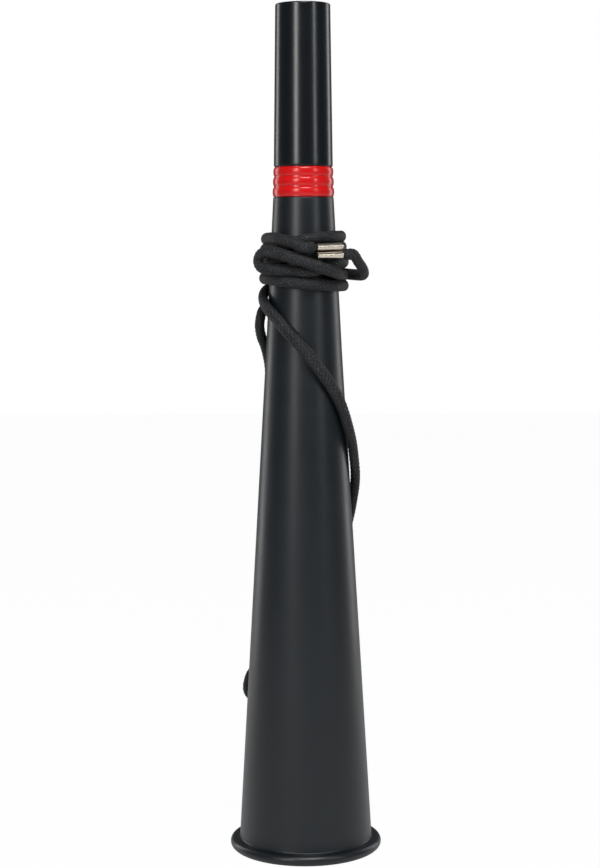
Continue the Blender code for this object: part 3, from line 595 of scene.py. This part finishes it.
ring = add(ribs_tree, "GeometryNodeCurvePrimitiveCircle")
ring.inputs["Resolution"].default_value = TURN_STEPS
joined(ribs_tree, ribs_in.outputs["Ring Radius"], ring.inputs["Radius"])
section = add(ribs_tree, "GeometryNodeCurvePrimitiveCircle")
section.inputs["Resolution"].default_value = RIB_POINTS
section.inputs["Radius"].default_value = 1.0
section_size = add(ribs_tree, "ShaderNodeCombineXYZ")
joined(ribs_tree, ribs_in.outputs["Rise"], section_size.inputs["X"])
joined(ribs_tree, ribs_in.outputs["Half Width"], section_size.inputs["Y"])
section_size.inputs["Z"].default_value = 1.0
squeeze = add(ribs_tree, "GeometryNodeTransform")
joined(ribs_tree, section.outputs["Curve"], squeeze.inputs["Geometry"])
joined(ribs_tree, section_size.outputs[0], squeeze.inputs["Scale"])
sweep = add(ribs_tree, "GeometryNodeCurveToMesh")
joined(ribs_tree, ring.outputs["Curve"], sweep.inputs["Curve"])
joined(ribs_tree, squeeze.outputs["Geometry"], sweep.inputs["Profile Curve"])
stack = add(ribs_tree, "GeometryNodeMeshLine", mode="OFFSET")
joined(ribs_tree, ribs_in.outputs["Count"], stack.inputs["Count"])
drop = add(ribs_tree, "ShaderNodeMath", operation="MULTIPLY")
joined(ribs_tree, ribs_in.outputs["Pitch"], drop.inputs[0])
drop.inputs[1].default_value = -1.0
first_place = add(ribs_tree, "ShaderNodeCombineXYZ")
joined(ribs_tree, ribs_in.outputs["Top Height"], first_place.inputs["Z"])
step_down = add(ribs_tree, "ShaderNodeCombineXYZ")
joined(ribs_tree, drop.outputs[0], step_down.inputs["Z"])
joined(ribs_tree, first_place.outputs[0], stack.inputs["Start Location"])
joined(ribs_tree, step_down.outputs[0], stack.inputs["Offset"])
index = add(ribs_tree, "GeometryNodeInputIndex")
grown = add(ribs_tree, "ShaderNodeMath", operation="MULTIPLY_ADD")
joined(ribs_tree, index.outputs[0], grown.inputs[0])
joined(ribs_tree, ribs_in.outputs["Growth"], grown.inputs[1])
grown.inputs[2].default_value = 1.0
wide = add(ribs_tree, "ShaderNodeCombineXYZ")
joined(ribs_tree, grown.outputs[0], wide.inputs["X"])
joined(ribs_tree, grown.outputs[0], wide.inputs["Y"])
wide.inputs["Z"].default_value = 1.0
copies = add(ribs_tree, "GeometryNodeInstanceOnPoints")
joined(ribs_tree, stack.outputs["Mesh"], copies.inputs["Points"])
joined(ribs_tree, sweep.outputs["Mesh"], copies.inputs["Instance"])
joined(ribs_tree, wide.outputs[0], copies.inputs["Scale"])
real = add(ribs_tree, "GeometryNodeRealizeInstances")
joined(ribs_tree, copies.outputs["Instances"], real.inputs["Geometry"])
paint = add(ribs_tree, "GeometryNodeSetMaterial")
joined(ribs_tree, real.outputs["Geometry"], paint.inputs["Geometry"])
joined(ribs_tree, ribs_in.outputs["Finish"], paint.inputs["Material"])
joined(ribs_tree, paint.outputs["Geometry"], ribs_out.inputs["Geometry"])
print("tree:", ribs_tree.name, "with", len(ribs_tree.nodes), "nodes")


# %% [markdown]
# The tree runs on an empty mesh, and its result is kept as a plain mesh that rides with the collar.

# %% Run the rib tree
def grow(tree, name, finish):
    """Runs a tree on an empty mesh and keeps the result as a plain mesh."""
    holder = bpy.data.objects.new(name + "_maker", bpy.data.meshes.new(name + "_maker"))
    scene.collection.objects.link(holder)
    step = holder.modifiers.new("make", "NODES")
    step.node_group = tree
    for item in tree.interface.items_tree:
        if item.in_out == "INPUT" and item.name == "Finish":
            step[item.identifier] = finish
    return baked(holder, name, finish)


ribs = grow(ribs_tree, "collar_ribs", collar_red)
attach(ribs, "collar")
print("ribs:", len(ribs.data.polygons), "faces")

# %% [markdown]
# The mouth tube is a straight polished tube with a rounded rim for the lips and a small rounded lip where
# it meets the collar.

# %% Mouth tube
RIM = WALL / 2
LIP = 0.0008
TUBE_SIDE_INSET = 0.002
TUBE_SHOULDER_RUN = 0.0010
tube_length = TUBE_TOP - TUBE_FOOT


def tube_radius(height):
    share = (height - TUBE_FOOT) / tube_length
    return TUBE_FOOT_RADIUS + share * (TUBE_TOP_RADIUS - TUBE_FOOT_RADIUS)


tube_rim = arc((TUBE_TOP_RADIUS - RIM, TUBE_TOP - RIM), RIM, 90, 0, 9)
tube_side = run_down(tube_radius, TUBE_TOP - RIM - TUBE_SIDE_INSET, TUBE_FOOT + LIP + TUBE_SIDE_INSET)
tube_lip = arc((TUBE_FOOT_RADIUS - LIP, TUBE_FOOT + LIP), LIP, 0, -90, 7)
shoulder = TUBE_FOOT + SOCKET_DEPTH
tube_inside = [
    (TUBE_FOOT_RADIUS - WALL + SOCKET_EDGE, TUBE_FOOT),
    (TUBE_FOOT_RADIUS - WALL, TUBE_FOOT + SOCKET_EDGE),
    (TUBE_FOOT_RADIUS - WALL, shoulder),
    (tube_radius(shoulder) - WALL - GAP, shoulder + TUBE_SHOULDER_RUN),
    *arc((TUBE_TOP_RADIUS - RIM, TUBE_TOP - RIM), RIM, 180, 100, 8),
]
mouth_tube = turned("mouth_tube_moulding", tube_rim + tube_side + tube_lip + tube_inside, polished_black)
dress(mouth_tube, "mouth_tube", "tube_plastic", "mouth_tube")
print("mouth tube:", len(mouth_tube.data.polygons), "faces")

# %% [markdown]
# The seals and the reed cartridge have their right shape in the solids already, so they only get their
# finish.

# %% Finishes for the solids that stay
STAYING = {
    "lower_seal": seal_rubber,
    "upper_seal": seal_rubber,
    "reed_holder": holder_acetal,
    "reed_tongue": reed_brass,
    "reed_clamp": clamp_steel,
    "reed_screw_1": clamp_steel,
    "reed_screw_2": clamp_steel,
}
for node, finish in STAYING.items():
    slots = frame["nodes"][node].data.materials
    slots.clear()
    slots.append(finish)
print("finished solids:", sorted(STAYING))


# %% [markdown]
# The cord is one closed loop, 1.9 m of tubular braid that is 7 mm across in the solids, crimped end to
# end in the sleeve. Its route is a list of stations: degrees from the front, height, and distance from
# the bell's wall.

# %% The cord's route
CORD_RADIUS = 0.0035
CORD_GAP = 0.0006
SNUG = CORD_RADIUS + CORD_GAP  # from the wall to the middle of a strand that lies on it
CROSSING = SNUG + 2 * CORD_RADIUS + CORD_GAP  # the same for a strand that lies on another strand
UPPER_WRAP = [
    (-15, 0.4640, CROSSING + 0.0003), (-30, 0.4660, 0.0107), (-45, 0.4669, 0.0074), (-68, 0.4668, SNUG),
    (-90, 0.4662, SNUG), (-120, 0.4657, 0.0052), (-150, 0.4640, 0.0093), (-180, 0.4600, CROSSING),
    (-210, 0.4550, CROSSING), (-226, 0.4520, CROSSING), (-244, 0.4494, 0.0086), (-270, 0.4482, SNUG),
    (-300, 0.4476, SNUG), (-330, 0.4448, SNUG), (-355, 0.4414, SNUG), (-372, 0.4424, SNUG),
    (-392, 0.4434, 0.0072), (-407, 0.4441, 0.0104), (-418, 0.4456, 0.0124), (-423, 0.4503, 0.0130),
    (-418, 0.4550, 0.0126), (-408, 0.4570, CROSSING), (-390, 0.4556, CROSSING), (-375, 0.4526, CROSSING),
    (-355, 0.4486, CROSSING), (-335, 0.4440, CROSSING), (-320, 0.4414, 0.0106), (-305, 0.4398, 0.0068),
    (-290, 0.4391, 0.0043), (-270, 0.4389, SNUG), (-240, 0.4386, SNUG), (-210, 0.4373, SNUG),
    (-180, 0.4347, SNUG), (-150, 0.4322, SNUG), (-130, 0.4303, SNUG),
]
LOWER_TURNS = 3
LOWER_WRAP = [
    (68, 0.4487, 0.0188), (77, 0.4432, 0.0202), (86, 0.4400, 0.0198), (94, 0.4390, 0.0175),
    (104, 0.4392, 0.0143), (117, 0.4396, 0.0122), (135, 0.4404, CROSSING), (155, 0.4428, CROSSING),
    (180, 0.4472, CROSSING), (210, 0.4532, CROSSING), (225, 0.4561, 0.0108), (240, 0.4577, 0.0084),
    (255, 0.4584, 0.0056), (270, 0.4586, SNUG), (300, 0.4590, SNUG), (315, 0.4600, SNUG),
    (330, 0.4613, SNUG), (345, 0.4634, SNUG), (360, 0.4654, SNUG), (390, 0.4674, SNUG),
    (420, 0.4679, SNUG), (450, 0.4681, SNUG), (480, 0.4661, SNUG), (510, 0.4624, SNUG),
    (540, 0.4570, SNUG), (570, 0.4526, SNUG), (600, 0.4508, SNUG), (630, 0.4508, SNUG),
    (660, 0.4512, SNUG), (690, 0.4528, SNUG), (720, 0.4556, SNUG), (750, 0.4580, SNUG),
    (780, 0.4594, SNUG), (810, 0.4603, SNUG), (840, 0.4578, SNUG), (870, 0.4532, SNUG),
    (900, 0.4474, SNUG), (930, 0.4418, SNUG), (960, 0.4384, SNUG), (990, 0.4370, SNUG),
    (1020, 0.4363, SNUG), (1050, 0.4349, SNUG), (1080, 0.4332, SNUG), (1110, 0.4321, SNUG),
    (1140, 0.4315, SNUG), (1170, 0.4313, SNUG), (1200, 0.4306, SNUG), (1230, 0.4278, SNUG),
    (1260, 0.4243, SNUG), (1285, 0.4204, SNUG),
]
FREE_RUN = [
    (-120, 0.4290, SNUG), (-105, 0.4264, SNUG), (-90, 0.4230, SNUG), (-60, 0.4142, SNUG),
    (-38, 0.4063, SNUG), (-24, 0.3986, SNUG), (-10, 0.3907, SNUG), (0, 0.3846, SNUG),
    (25, 0.3657, SNUG), (48, 0.3465, SNUG), (68, 0.3231, SNUG), (82, 0.3072, SNUG),
    (92, 0.2897, 0.0045), (112, 0.2665, SNUG), (134, 0.2350, SNUG), (155, 0.2000, SNUG),
    (172, 0.1650, SNUG), (188, 0.1380, SNUG), (200, 0.1220, 0.0048), (208, 0.1150, 0.0062),
    (214, 0.1121, EYE_STANDOFF), (220, EYE_HEIGHT, EYE_STANDOFF), (226, 0.1106, EYE_STANDOFF),
    (232, 0.1112, 0.0068), (240, 0.1144, 0.0060), (245, 0.1205, 0.0052), (243, 0.1270, 0.0046),
    (236, 0.1318, 0.0042), (229, 0.1380, SNUG), (223, 0.1520, SNUG), (219, 0.1800, SNUG),
    (217, 0.2300, SNUG), (219, 0.2900, SNUG), (224, 0.3400, SNUG), (232, 0.3700, SNUG),
    (243, 0.3850, 0.0046), (254, 0.3930, 0.0056), (262, 0.4020, 0.0062), (256, 0.4110, 0.0056),
    (240, 0.4158, 0.0046), (222, 0.4184, SNUG),
]
print("stations:", len(UPPER_WRAP) + len(LOWER_WRAP) + len(FREE_RUN))

# %% [markdown]
# The two ends run straight into the sleeve, one into each barrel, from opposite sides. A point is placed
# by its azimuth, height and distance from the wall, so both ends also have to be written that way.

# %% Where the ends enter the sleeve
TIP_INSET = 0.0010
SLEEVE_AZIMUTH, SLEEVE_TILT = 26.0, 2.0
SLEEVE_RADIUS, SLEEVE_SLIDE, SLEEVE_LENGTH = 0.0351, 0.0040, 0.0210
SLEEVE_UPPER_HEIGHT, BARREL_SPACING = 0.4604, 0.0063
sleeve_angle, sleeve_tilt = math.radians(SLEEVE_AZIMUTH), math.radians(SLEEVE_TILT)
sleeve_out = Vector((math.sin(sleeve_angle), -math.cos(sleeve_angle), 0.0))
sleeve_level = Vector((math.cos(sleeve_angle), math.sin(sleeve_angle), 0.0))
sleeve_axis = sleeve_level * math.cos(sleeve_tilt) + upward * math.sin(sleeve_tilt)
sleeve_up = sleeve_out.cross(sleeve_axis)
sleeve_centre = sleeve_out * SLEEVE_RADIUS + sleeve_level * SLEEVE_SLIDE
sleeve_centre.z = SLEEVE_UPPER_HEIGHT - BARREL_SPACING / 2


def around(azimuth, height, standoff):
    reach = bell_radius(height) + standoff
    angle = math.radians(azimuth)
    return Vector((reach * math.sin(angle), -reach * math.cos(angle), height))


def as_station(place):
    reach = math.hypot(place.x, place.y)
    return math.degrees(math.atan2(place.x, -place.y)), place.z, reach - bell_radius(place.z)


def sleeve_entry(side, way):
    """The tip of an end inside its barrel, the barrel's mouth, and three stations of the run outside."""
    middle = sleeve_centre + sleeve_up * (side * BARREL_SPACING / 2)
    tip = middle - sleeve_axis * way * (SLEEVE_LENGTH / 2 - TIP_INSET)
    mouth = middle + sleeve_axis * way * (SLEEVE_LENGTH / 2)
    outside = [as_station(mouth + sleeve_axis * way * CORD_RADIUS * 2 * share) for share in (0.4, 0.8, 1.2)]
    return tip, mouth, outside


print("sleeve centre:", tuple(round(v, 4) for v in sleeve_centre))


# %% [markdown]
# A cubic that never overshoots joins the stations. It is worked out in azimuth, height and distance from
# the wall, so the turns stay round.

# %% The smooth line
LINE_STEP = 0.0005


def monotone_slopes(steps, values):
    grade = np.diff(values) / steps
    slopes = np.zeros(len(values))
    slopes[0], slopes[-1] = grade[0], grade[-1]
    for i in range(1, len(values) - 1):
        if grade[i - 1] * grade[i] > 0:
            before, after = 2 * steps[i] + steps[i - 1], steps[i] + 2 * steps[i - 1]
            slopes[i] = (before + after) / (before / grade[i - 1] + after / grade[i])
    return slopes


def smooth_line(stations):
    knots = np.array(stations, float)
    places = np.array([around(*knot) for knot in knots])
    steps = np.linalg.norm(np.diff(places, axis=0), axis=1)
    at = np.concatenate([[0.0], np.cumsum(steps)])
    fine = np.linspace(0.0, at[-1], int(at[-1] / LINE_STEP))
    which = np.clip(np.searchsorted(at, fine, side="right") - 1, 0, len(steps) - 1)
    length = steps[which]
    t = (fine - at[which]) / length
    line = []
    for axis in range(3):
        slopes = monotone_slopes(steps, knots[:, axis])
        start, end = knots[which, axis], knots[which + 1, axis]
        leave, arrive = slopes[which] * length, slopes[which + 1] * length
        rise = (2 * t**3 - 3 * t**2 + 1) * start + (t**3 - 2 * t**2 + t) * leave
        line.append(rise + (3 * t**2 - 2 * t**3) * end + (t**3 - t**2) * arrive)
    return np.array([around(*station) for station in np.array(line).T])


upper_tip, upper_mouth, upper_outside = sleeve_entry(1, -1)
lower_tip, lower_mouth, lower_outside = sleeve_entry(-1, 1)
lower_stations = [(a - 360 * LOWER_TURNS, h, off) for a, h, off in reversed(lower_outside + LOWER_WRAP)]
line = smooth_line(upper_outside + UPPER_WRAP + FREE_RUN + lower_stations)
route = np.vstack([upper_tip, upper_mouth, line, lower_mouth, lower_tip])
walked = np.concatenate([[0.0], np.cumsum(np.linalg.norm(np.diff(route, axis=0), axis=1))])
cord_length = float(walked[-1])
print("cord length:", round(cord_length, 3), "m")

# %% [markdown]
# The crimp sleeve shows as two nickel-plated barrels, one over the other. Each is a closed round section
# with a notch for its seam, swept along the sleeve, and the seam stops just short of the right end. The
# waist that joins the barrels in the solid, and their bores, are left out here.

# %% Crimp sleeve
BARREL_RADIUS = 0.0027
BARREL_LIP = 0.00022
SEAM_HALF = math.radians(5.0)
SEAM_DEPTH = 0.0005
SEAM_END_MARGIN = 0.0014
SEAM_END_STEP = 0.0001
BARREL_POINTS = 60
BARREL_SHARP_ANGLE = 30.0
half_sleeve = SLEEVE_LENGTH / 2
full_turn = 2 * math.pi
seam_shoulder = SEAM_HALF * 1.4
round_part = np.linspace(seam_shoulder, full_turn - seam_shoulder, BARREL_POINTS)
barrel_angles = [0.0, SEAM_HALF, *round_part, full_turn - SEAM_HALF]
barrel_stops = [
    (-half_sleeve, BARREL_LIP, 1.0),
    (-half_sleeve + BARREL_LIP, 0.0, 1.0),
    (half_sleeve - SEAM_END_MARGIN, 0.0, 1.0),
    (half_sleeve - SEAM_END_MARGIN + SEAM_END_STEP, 0.0, 0.0),
    (half_sleeve - BARREL_LIP, 0.0, 0.0),
    (half_sleeve, BARREL_LIP, 0.0),
]
sleeve_points, sleeve_faces = [], []
for barrel in (1, -1):
    first = len(sleeve_points)
    middle = sleeve_centre + sleeve_up * (barrel * BARREL_SPACING / 2)
    for at, shrink, seam in barrel_stops:
        for a in barrel_angles:
            in_seam = a <= SEAM_HALF or a >= full_turn - SEAM_HALF
            reach = BARREL_RADIUS - shrink - (SEAM_DEPTH * seam if in_seam else 0.0)
            outwards, upwards = sleeve_out * reach * math.cos(a), sleeve_up * reach * math.sin(a)
            sleeve_points.append(middle + sleeve_axis * at + outwards + upwards)
    count = len(barrel_angles)
    for stop in range(len(barrel_stops) - 1):
        for j in range(count):
            after = (j + 1) % count
            base = first + stop * count
            sleeve_faces.append((base + j, base + after, base + count + after, base + count + j))
    sleeve_faces.append(tuple(first + j for j in reversed(range(count))))
    sleeve_faces.append(tuple(first + (len(barrel_stops) - 1) * count + j for j in range(count)))
sleeve = mesh_object("crimp_sleeve_barrels", sleeve_points, sleeve_faces, nickel, BARREL_SHARP_ANGLE)
faced_outwards(sleeve.data)
dress(sleeve, "bell", "sleeve_nickel", "crimp_sleeve")
print("sleeve:", len(sleeve.data.polygons), "faces")

# %% [markdown]
# The braid is tubular, so it lies a little flat where it presses on the horn. It could be a plain tube
# with a bump, but its strands break the outline, so the strands are real relief: each ring of the swept
# section rises and falls with two families of strands that run over and under each other. The section is
# wider than the cord in the solids, and so neighbouring turns of the winding press into each other.

# %% Sweep the braid
RING_STEP = 0.00072
RING_POINTS = 32
HALF_WIDTH = 0.0042
FREE_EXTRA = 0.0004  # the braid spreads wider on the cone than in the tight wraps
HALF_THICKNESS = 0.0036
END_RADIUS = 0.0016
SWELL_LENGTH = 0.0035
STRAND_PAIRS = 8
STRAND_PITCH = 0.0034  # along the cord, one crossing to the next
RELIEF = 0.00050
UNDER_SHARE = 0.55  # how high a strand stands where it dips towards the one that crosses it
MEAN_CROWN = 0.6
SMOOTHING_RINGS = 9
FREE_START, FREE_END, FREE_EASE = 0.47, 1.17, 0.05  # the run on the cone, in metres along the cord

distances = np.linspace(0.0, cord_length, int(cord_length / RING_STEP) + 1)
centres = np.stack([np.interp(distances, walked, route[:, axis]) for axis in range(3)], axis=1)
window = np.hanning(SMOOTHING_RINGS)
window /= window.sum()
spare = SMOOTHING_RINGS // 2
padded = np.vstack([centres[:1]] * spare + [centres] + [centres[-1:]] * spare)
centres = np.stack([np.convolve(padded[:, axis], window, mode="valid") for axis in range(3)], axis=1)
along = np.gradient(centres, axis=0)
along /= np.linalg.norm(along, axis=1)[:, None]
away = centres * np.array([1.0, 1.0, 0.0])
away -= (away * along).sum(axis=1)[:, None] * along
away /= np.linalg.norm(away, axis=1)[:, None]
across = np.cross(along, away)
from_sleeve = np.minimum(distances, cord_length - distances) - SLEEVE_LENGTH + TIP_INSET
swell = np.clip(from_sleeve / SWELL_LENGTH, 0.0, 1.0)
swell = swell * swell * (3 - 2 * swell)
around_section = np.linspace(0.0, 1.0, RING_POINTS, endpoint=False)
first_phase = around_section[None] * STRAND_PAIRS + distances[:, None] / STRAND_PITCH
second_phase = around_section[None] * STRAND_PAIRS - distances[:, None] / STRAND_PITCH
first_hump = np.sin(math.pi * (first_phase % 1.0))
second_hump = np.sin(math.pi * (second_phase % 1.0))
first_on_top = (np.floor(first_phase) + np.floor(second_phase)) % 2 == 0
first_strand = first_hump * (UNDER_SHARE + (1 - UNDER_SHARE) * second_hump)
second_strand = second_hump * (UNDER_SHARE + (1 - UNDER_SHARE) * first_hump)
crown_height = np.where(first_on_top, first_strand, second_strand)
lift = (crown_height - MEAN_CROWN) * RELIEF * swell[:, None]
half_out = END_RADIUS + (HALF_THICKNESS - END_RADIUS) * swell
loose = np.clip(np.minimum(distances - FREE_START, FREE_END - distances) / FREE_EASE, 0.0, 1.0)
half_side = END_RADIUS + (HALF_WIDTH + FREE_EXTRA * loose - END_RADIUS) * swell
turn = 2 * math.pi * around_section
out_part = (half_out[:, None] + lift) * np.cos(turn)
side_part = (half_side[:, None] + lift) * np.sin(turn)
rings = centres[:, None] + out_part[..., None] * away[:, None] + side_part[..., None] * across[:, None]
print("rings:", len(rings), "of", RING_POINTS, "points")

# %% [markdown]
# The rings are joined to one mesh. It carries three marks for the finish: how high each point stands,
# which family of strands is on top there, and a UV map that runs along and round the cord.

# %% Braid mesh
UV_PER_METRE = 100
ring_count = len(rings)
cord_points = rings.reshape(-1, 3)
cord_faces = [
    (
        i * RING_POINTS + j,
        i * RING_POINTS + (j + 1) % RING_POINTS,
        (i + 1) * RING_POINTS + (j + 1) % RING_POINTS,
        (i + 1) * RING_POINTS + j,
    )
    for i in range(ring_count - 1)
    for j in range(RING_POINTS)
]
cord_faces.append(tuple(reversed(range(RING_POINTS))))
cord_faces.append(tuple((ring_count - 1) * RING_POINTS + j for j in range(RING_POINTS)))
cord_mesh = bpy.data.meshes.new("carry_cord")
cord_mesh.from_pydata(cord_points.tolist(), [], cord_faces)
faced_outwards(cord_mesh)
smoothed(cord_mesh)
crown_mark = cord_mesh.attributes.new("crown", "FLOAT", "POINT")
crown_mark.data.foreach_set("value", crown_height.astype(np.float32).ravel())
lean_mark = cord_mesh.attributes.new("lean", "FLOAT", "POINT")
lean_mark.data.foreach_set("value", first_on_top.astype(np.float32).ravel())
braid_map = cord_mesh.uv_layers.new(name="braid")
loop_points = np.zeros(len(cord_mesh.loops), np.int32)
cord_mesh.loops.foreach_get("vertex_index", loop_points)
column = loop_points % RING_POINTS
flat_map = np.stack([distances[loop_points // RING_POINTS] * UV_PER_METRE, column / RING_POINTS], axis=1)
for polygon in cord_mesh.polygons:
    corners = range(polygon.loop_start, polygon.loop_start + polygon.loop_total)
    if len(corners) == 4 and {column[c] for c in corners} == {0, RING_POINTS - 1}:
        for corner in corners:
            if column[corner] == 0:
                flat_map[corner, 1] = 1.0
braid_map.data.foreach_set("uv", flat_map.astype(np.float32).ravel())
cord = bpy.data.objects.new("carry_cord", cord_mesh)
scene.collection.objects.link(cord)
print("cord:", len(cord_mesh.polygons), "faces")

# %% [markdown]
# The braid's yarn is black with a very slight sheen. Painted light makes the crowns of the strands a dark
# grey, painted shade keeps the valleys deep black, and fine filaments run along each strand. A noise that
# is cut off high paints a few glints on the crowns as painted highlights. The marks come from the mesh
# itself.

# %% Braid finish
FILAMENT_TILT = 40.0  # degrees off the cord's length, one way for each family
FILAMENT_SCALE = 9.0
# The second scale and the next two cut-offs set the painted glints, light spots painted on the crowns.
FUZZ_SCALE, PAINTED_GLINT_SCALE = 30.0, 26.0
PAINTED_GLINT_LOW, PAINTED_GLINT_HIGH = 0.60, 0.68
# Crowns that stand higher than this share are lightened with painted light; painted shade stays in the
# valleys.
CROWN_LIGHT_LOW = 0.35
FILAMENT_DEPTH, FILAMENT_STRENGTH = 0.00012, 0.7

braid, braid_tree, braid_shader = principled("cord_braid", specular=0.4)
braid_shader.inputs["Sheen Weight"].default_value = 0.04
braid_shader.inputs["Sheen Roughness"].default_value = 0.4
crown_node = add(braid_tree, "ShaderNodeAttribute", attribute_name="crown")
lean_node = add(braid_tree, "ShaderNodeAttribute", attribute_name="lean")
map_node = add(braid_tree, "ShaderNodeUVMap", uv_map="braid")
filaments = []
for tilt in (FILAMENT_TILT, -FILAMENT_TILT):
    turned_map = add(braid_tree, "ShaderNodeMapping")
    turned_map.inputs["Scale"].default_value = (1.0, 2.3, 1.0)
    turned_map.inputs["Rotation"].default_value = (0.0, 0.0, math.radians(tilt))
    braid_tree.links.new(map_node.outputs["UV"], turned_map.inputs["Vector"])
    bands = add(braid_tree, "ShaderNodeTexWave")
    bands.inputs["Scale"].default_value = FILAMENT_SCALE
    bands.inputs["Distortion"].default_value = 1.5
    bands.inputs["Detail"].default_value = 1.0
    braid_tree.links.new(turned_map.outputs["Vector"], bands.inputs["Vector"])
    filaments.append(bands.outputs["Fac"])
yarn_mix = add(braid_tree, "ShaderNodeMix", data_type="FLOAT")
braid_tree.links.new(lean_node.outputs["Fac"], yarn_mix.inputs[0])
braid_tree.links.new(filaments[0], yarn_mix.inputs[2])
braid_tree.links.new(filaments[1], yarn_mix.inputs[3])
yarn = yarn_mix.outputs[0]
# Painted light on the crowns and painted shade in the valleys, from how high each point stands.
crown_light_share = remap(braid_tree, crown_node.outputs["Fac"], CROWN_LIGHT_LOW, 1.0, 0.0, 1.0)
fuzz = noise(braid_tree, map_node.outputs["UV"], FUZZ_SCALE, 3.0)
# Painted glints: a noise cut off high gives light spots on the crowns, painted highlights.
glint_noise = noise(braid_tree, map_node.outputs["UV"], PAINTED_GLINT_SCALE, 1.0)
painted_glints = remap(braid_tree, glint_noise, PAINTED_GLINT_LOW, PAINTED_GLINT_HIGH, 0.0, 1.0)
painted_crown_light_share = maths(braid_tree, "MULTIPLY", crown_light_share, maths(braid_tree, "MULTIPLY", yarn, fuzz))
painted_glint_share = maths(braid_tree, "MULTIPLY", crown_light_share, painted_glints)
# The yarn's colour: painted shade in the valleys, painted light on the crowns, with the filaments.
yarn_colour_with_painted_shade = blended(braid_tree, painted_crown_light_share, (0.0015, 0.002, 0.003), (0.022, 0.024, 0.029))
# The painted glints lighten the colour to a pale grey and lower the roughness.
braid_colour = blended(braid_tree, painted_glint_share, yarn_colour_with_painted_shade, (0.22, 0.23, 0.25))
braid_tree.links.new(braid_colour, braid_shader.inputs["Base Color"])
braid_tree.links.new(remap(braid_tree, painted_glint_share, 0.0, 1.0, 0.62, 0.30), braid_shader.inputs["Roughness"])
bumped(braid_tree, braid_shader, yarn, FILAMENT_DEPTH, FILAMENT_STRENGTH)
cord_mesh.materials.append(braid)
dress(cord, "bell", "cord_braid", "cord_wrap_upper", "cord_run", "cord_wrap_lower")
print("braid finish:", len(braid_tree.nodes), "nodes")

# %% [markdown]
# The floor is a plain pale sheet. To the camera it glows almost white, so it runs into the surround with
# hardly an edge, and to all other rays it is matt paper.

# %% Floor
FLOOR_HALF = 4.0
FLOOR_LEVEL = -0.0003  # just under the horn's foot
CAMERA_GLOW = 0.975
floor_corners = ((-1, -1), (1, -1), (1, 1), (-1, 1))
floor_points = [(x * FLOOR_HALF, y * FLOOR_HALF, FLOOR_LEVEL) for x, y in floor_corners]
floor_finish, floor_tree, floor_shader = principled("floor_paper")
floor_shader.inputs["Base Color"].default_value = (0.92, 0.92, 0.92, 1.0)
floor_shader.inputs["Roughness"].default_value = 0.9
floor_shader.inputs["Specular IOR Level"].default_value = 0.0
glow = add(floor_tree, "ShaderNodeEmission")
glow.inputs["Strength"].default_value = 1.0
ray = add(floor_tree, "ShaderNodeLightPath")
share = add(floor_tree, "ShaderNodeMath", operation="MULTIPLY")
share.inputs[1].default_value = CAMERA_GLOW
floor_tree.links.new(ray.outputs["Is Camera Ray"], share.inputs[0])
mixed = add(floor_tree, "ShaderNodeMixShader")
floor_tree.links.new(share.outputs[0], mixed.inputs[0])
floor_tree.links.new(floor_shader.outputs[0], mixed.inputs[1])
floor_tree.links.new(glow.outputs[0], mixed.inputs[2])
floor_output = next(n for n in floor_tree.nodes if n.type == "OUTPUT_MATERIAL")
floor_tree.links.new(mixed.outputs[0], floor_output.inputs["Surface"])
floor = mesh_object("floor", floor_points, [(0, 1, 2, 3)], floor_finish)
print("floor:", 2 * FLOOR_HALF, "m wide")

# %% [markdown]
# The surround is white where the camera looks at it and a dark grey for reflections and for the light on
# the horn, so that the black stays dark.

# %% Surround
SURROUND_PLAIN = 0.10
GLOSSY_SHARE = 0.02
world = bpy.data.worlds.new("surround")
scene.world = world
world.use_nodes = True
surround = world.node_tree
backdrop = surround.nodes["Background"]
backdrop.inputs["Color"].default_value = (1.0, 1.0, 1.0, 1.0)
world_ray = add(surround, "ShaderNodeLightPath")
seen = add(surround, "ShaderNodeMath", operation="MAXIMUM")
surround.links.new(world_ray.outputs["Is Camera Ray"], seen.inputs[0])
glossy = maths(surround, "MULTIPLY", world_ray.outputs["Is Glossy Ray"], GLOSSY_SHARE)
surround.links.new(glossy, seen.inputs[1])
strength = remap(surround, seen.outputs[0], 0.0, 1.0, SURROUND_PLAIN, 1.0)
surround.links.new(strength, backdrop.inputs["Strength"])
print("surround:", SURROUND_PLAIN, "to 1.0")

# %% [markdown]
# Two softboxes at the front make the two upright highlights on the tube, wide at the left and narrow at
# the right. Two more at the back light the horn's edges, and one above gives the plain light.

# %% Lamps
AIM = Vector((0.0, 0.0, 0.32))


def softbox(name, azimuth, distance, height, width, tall, power):
    """An area lamp aimed at the horn; its azimuth is in degrees from the front, positive towards +X."""
    data = bpy.data.lights.new(name, "AREA")
    data.shape = "RECTANGLE"
    data.size = width
    data.size_y = tall
    data.energy = power
    lamp = bpy.data.objects.new(name, data)
    angle = math.radians(azimuth)
    lamp.location = (distance * math.sin(angle), -distance * math.cos(angle), height)
    lamp.rotation_euler = (AIM - lamp.location).to_track_quat("-Z", "Y").to_euler()
    scene.collection.objects.link(lamp)
    return lamp


# Each row: name, azimuth, distance, height, width, tall, power in watts.
LAMPS = (
    ("softbox_left", -28.0, 1.7, 0.90, 0.30, 0.80, 9.0),
    ("softbox_right", 48.0, 1.7, 0.90, 0.12, 0.80, 3.6),
    ("rim_left", -125.0, 1.5, 0.45, 0.40, 1.3, 5.0),
    ("rim_right", 125.0, 1.5, 0.45, 0.40, 1.3, 5.0),
    ("key_above", 10.0, 1.3, 2.10, 0.90, 0.90, 34.0),
)
for lamp_row in LAMPS:
    softbox(*lamp_row)
scene.view_settings.view_transform = "Standard"
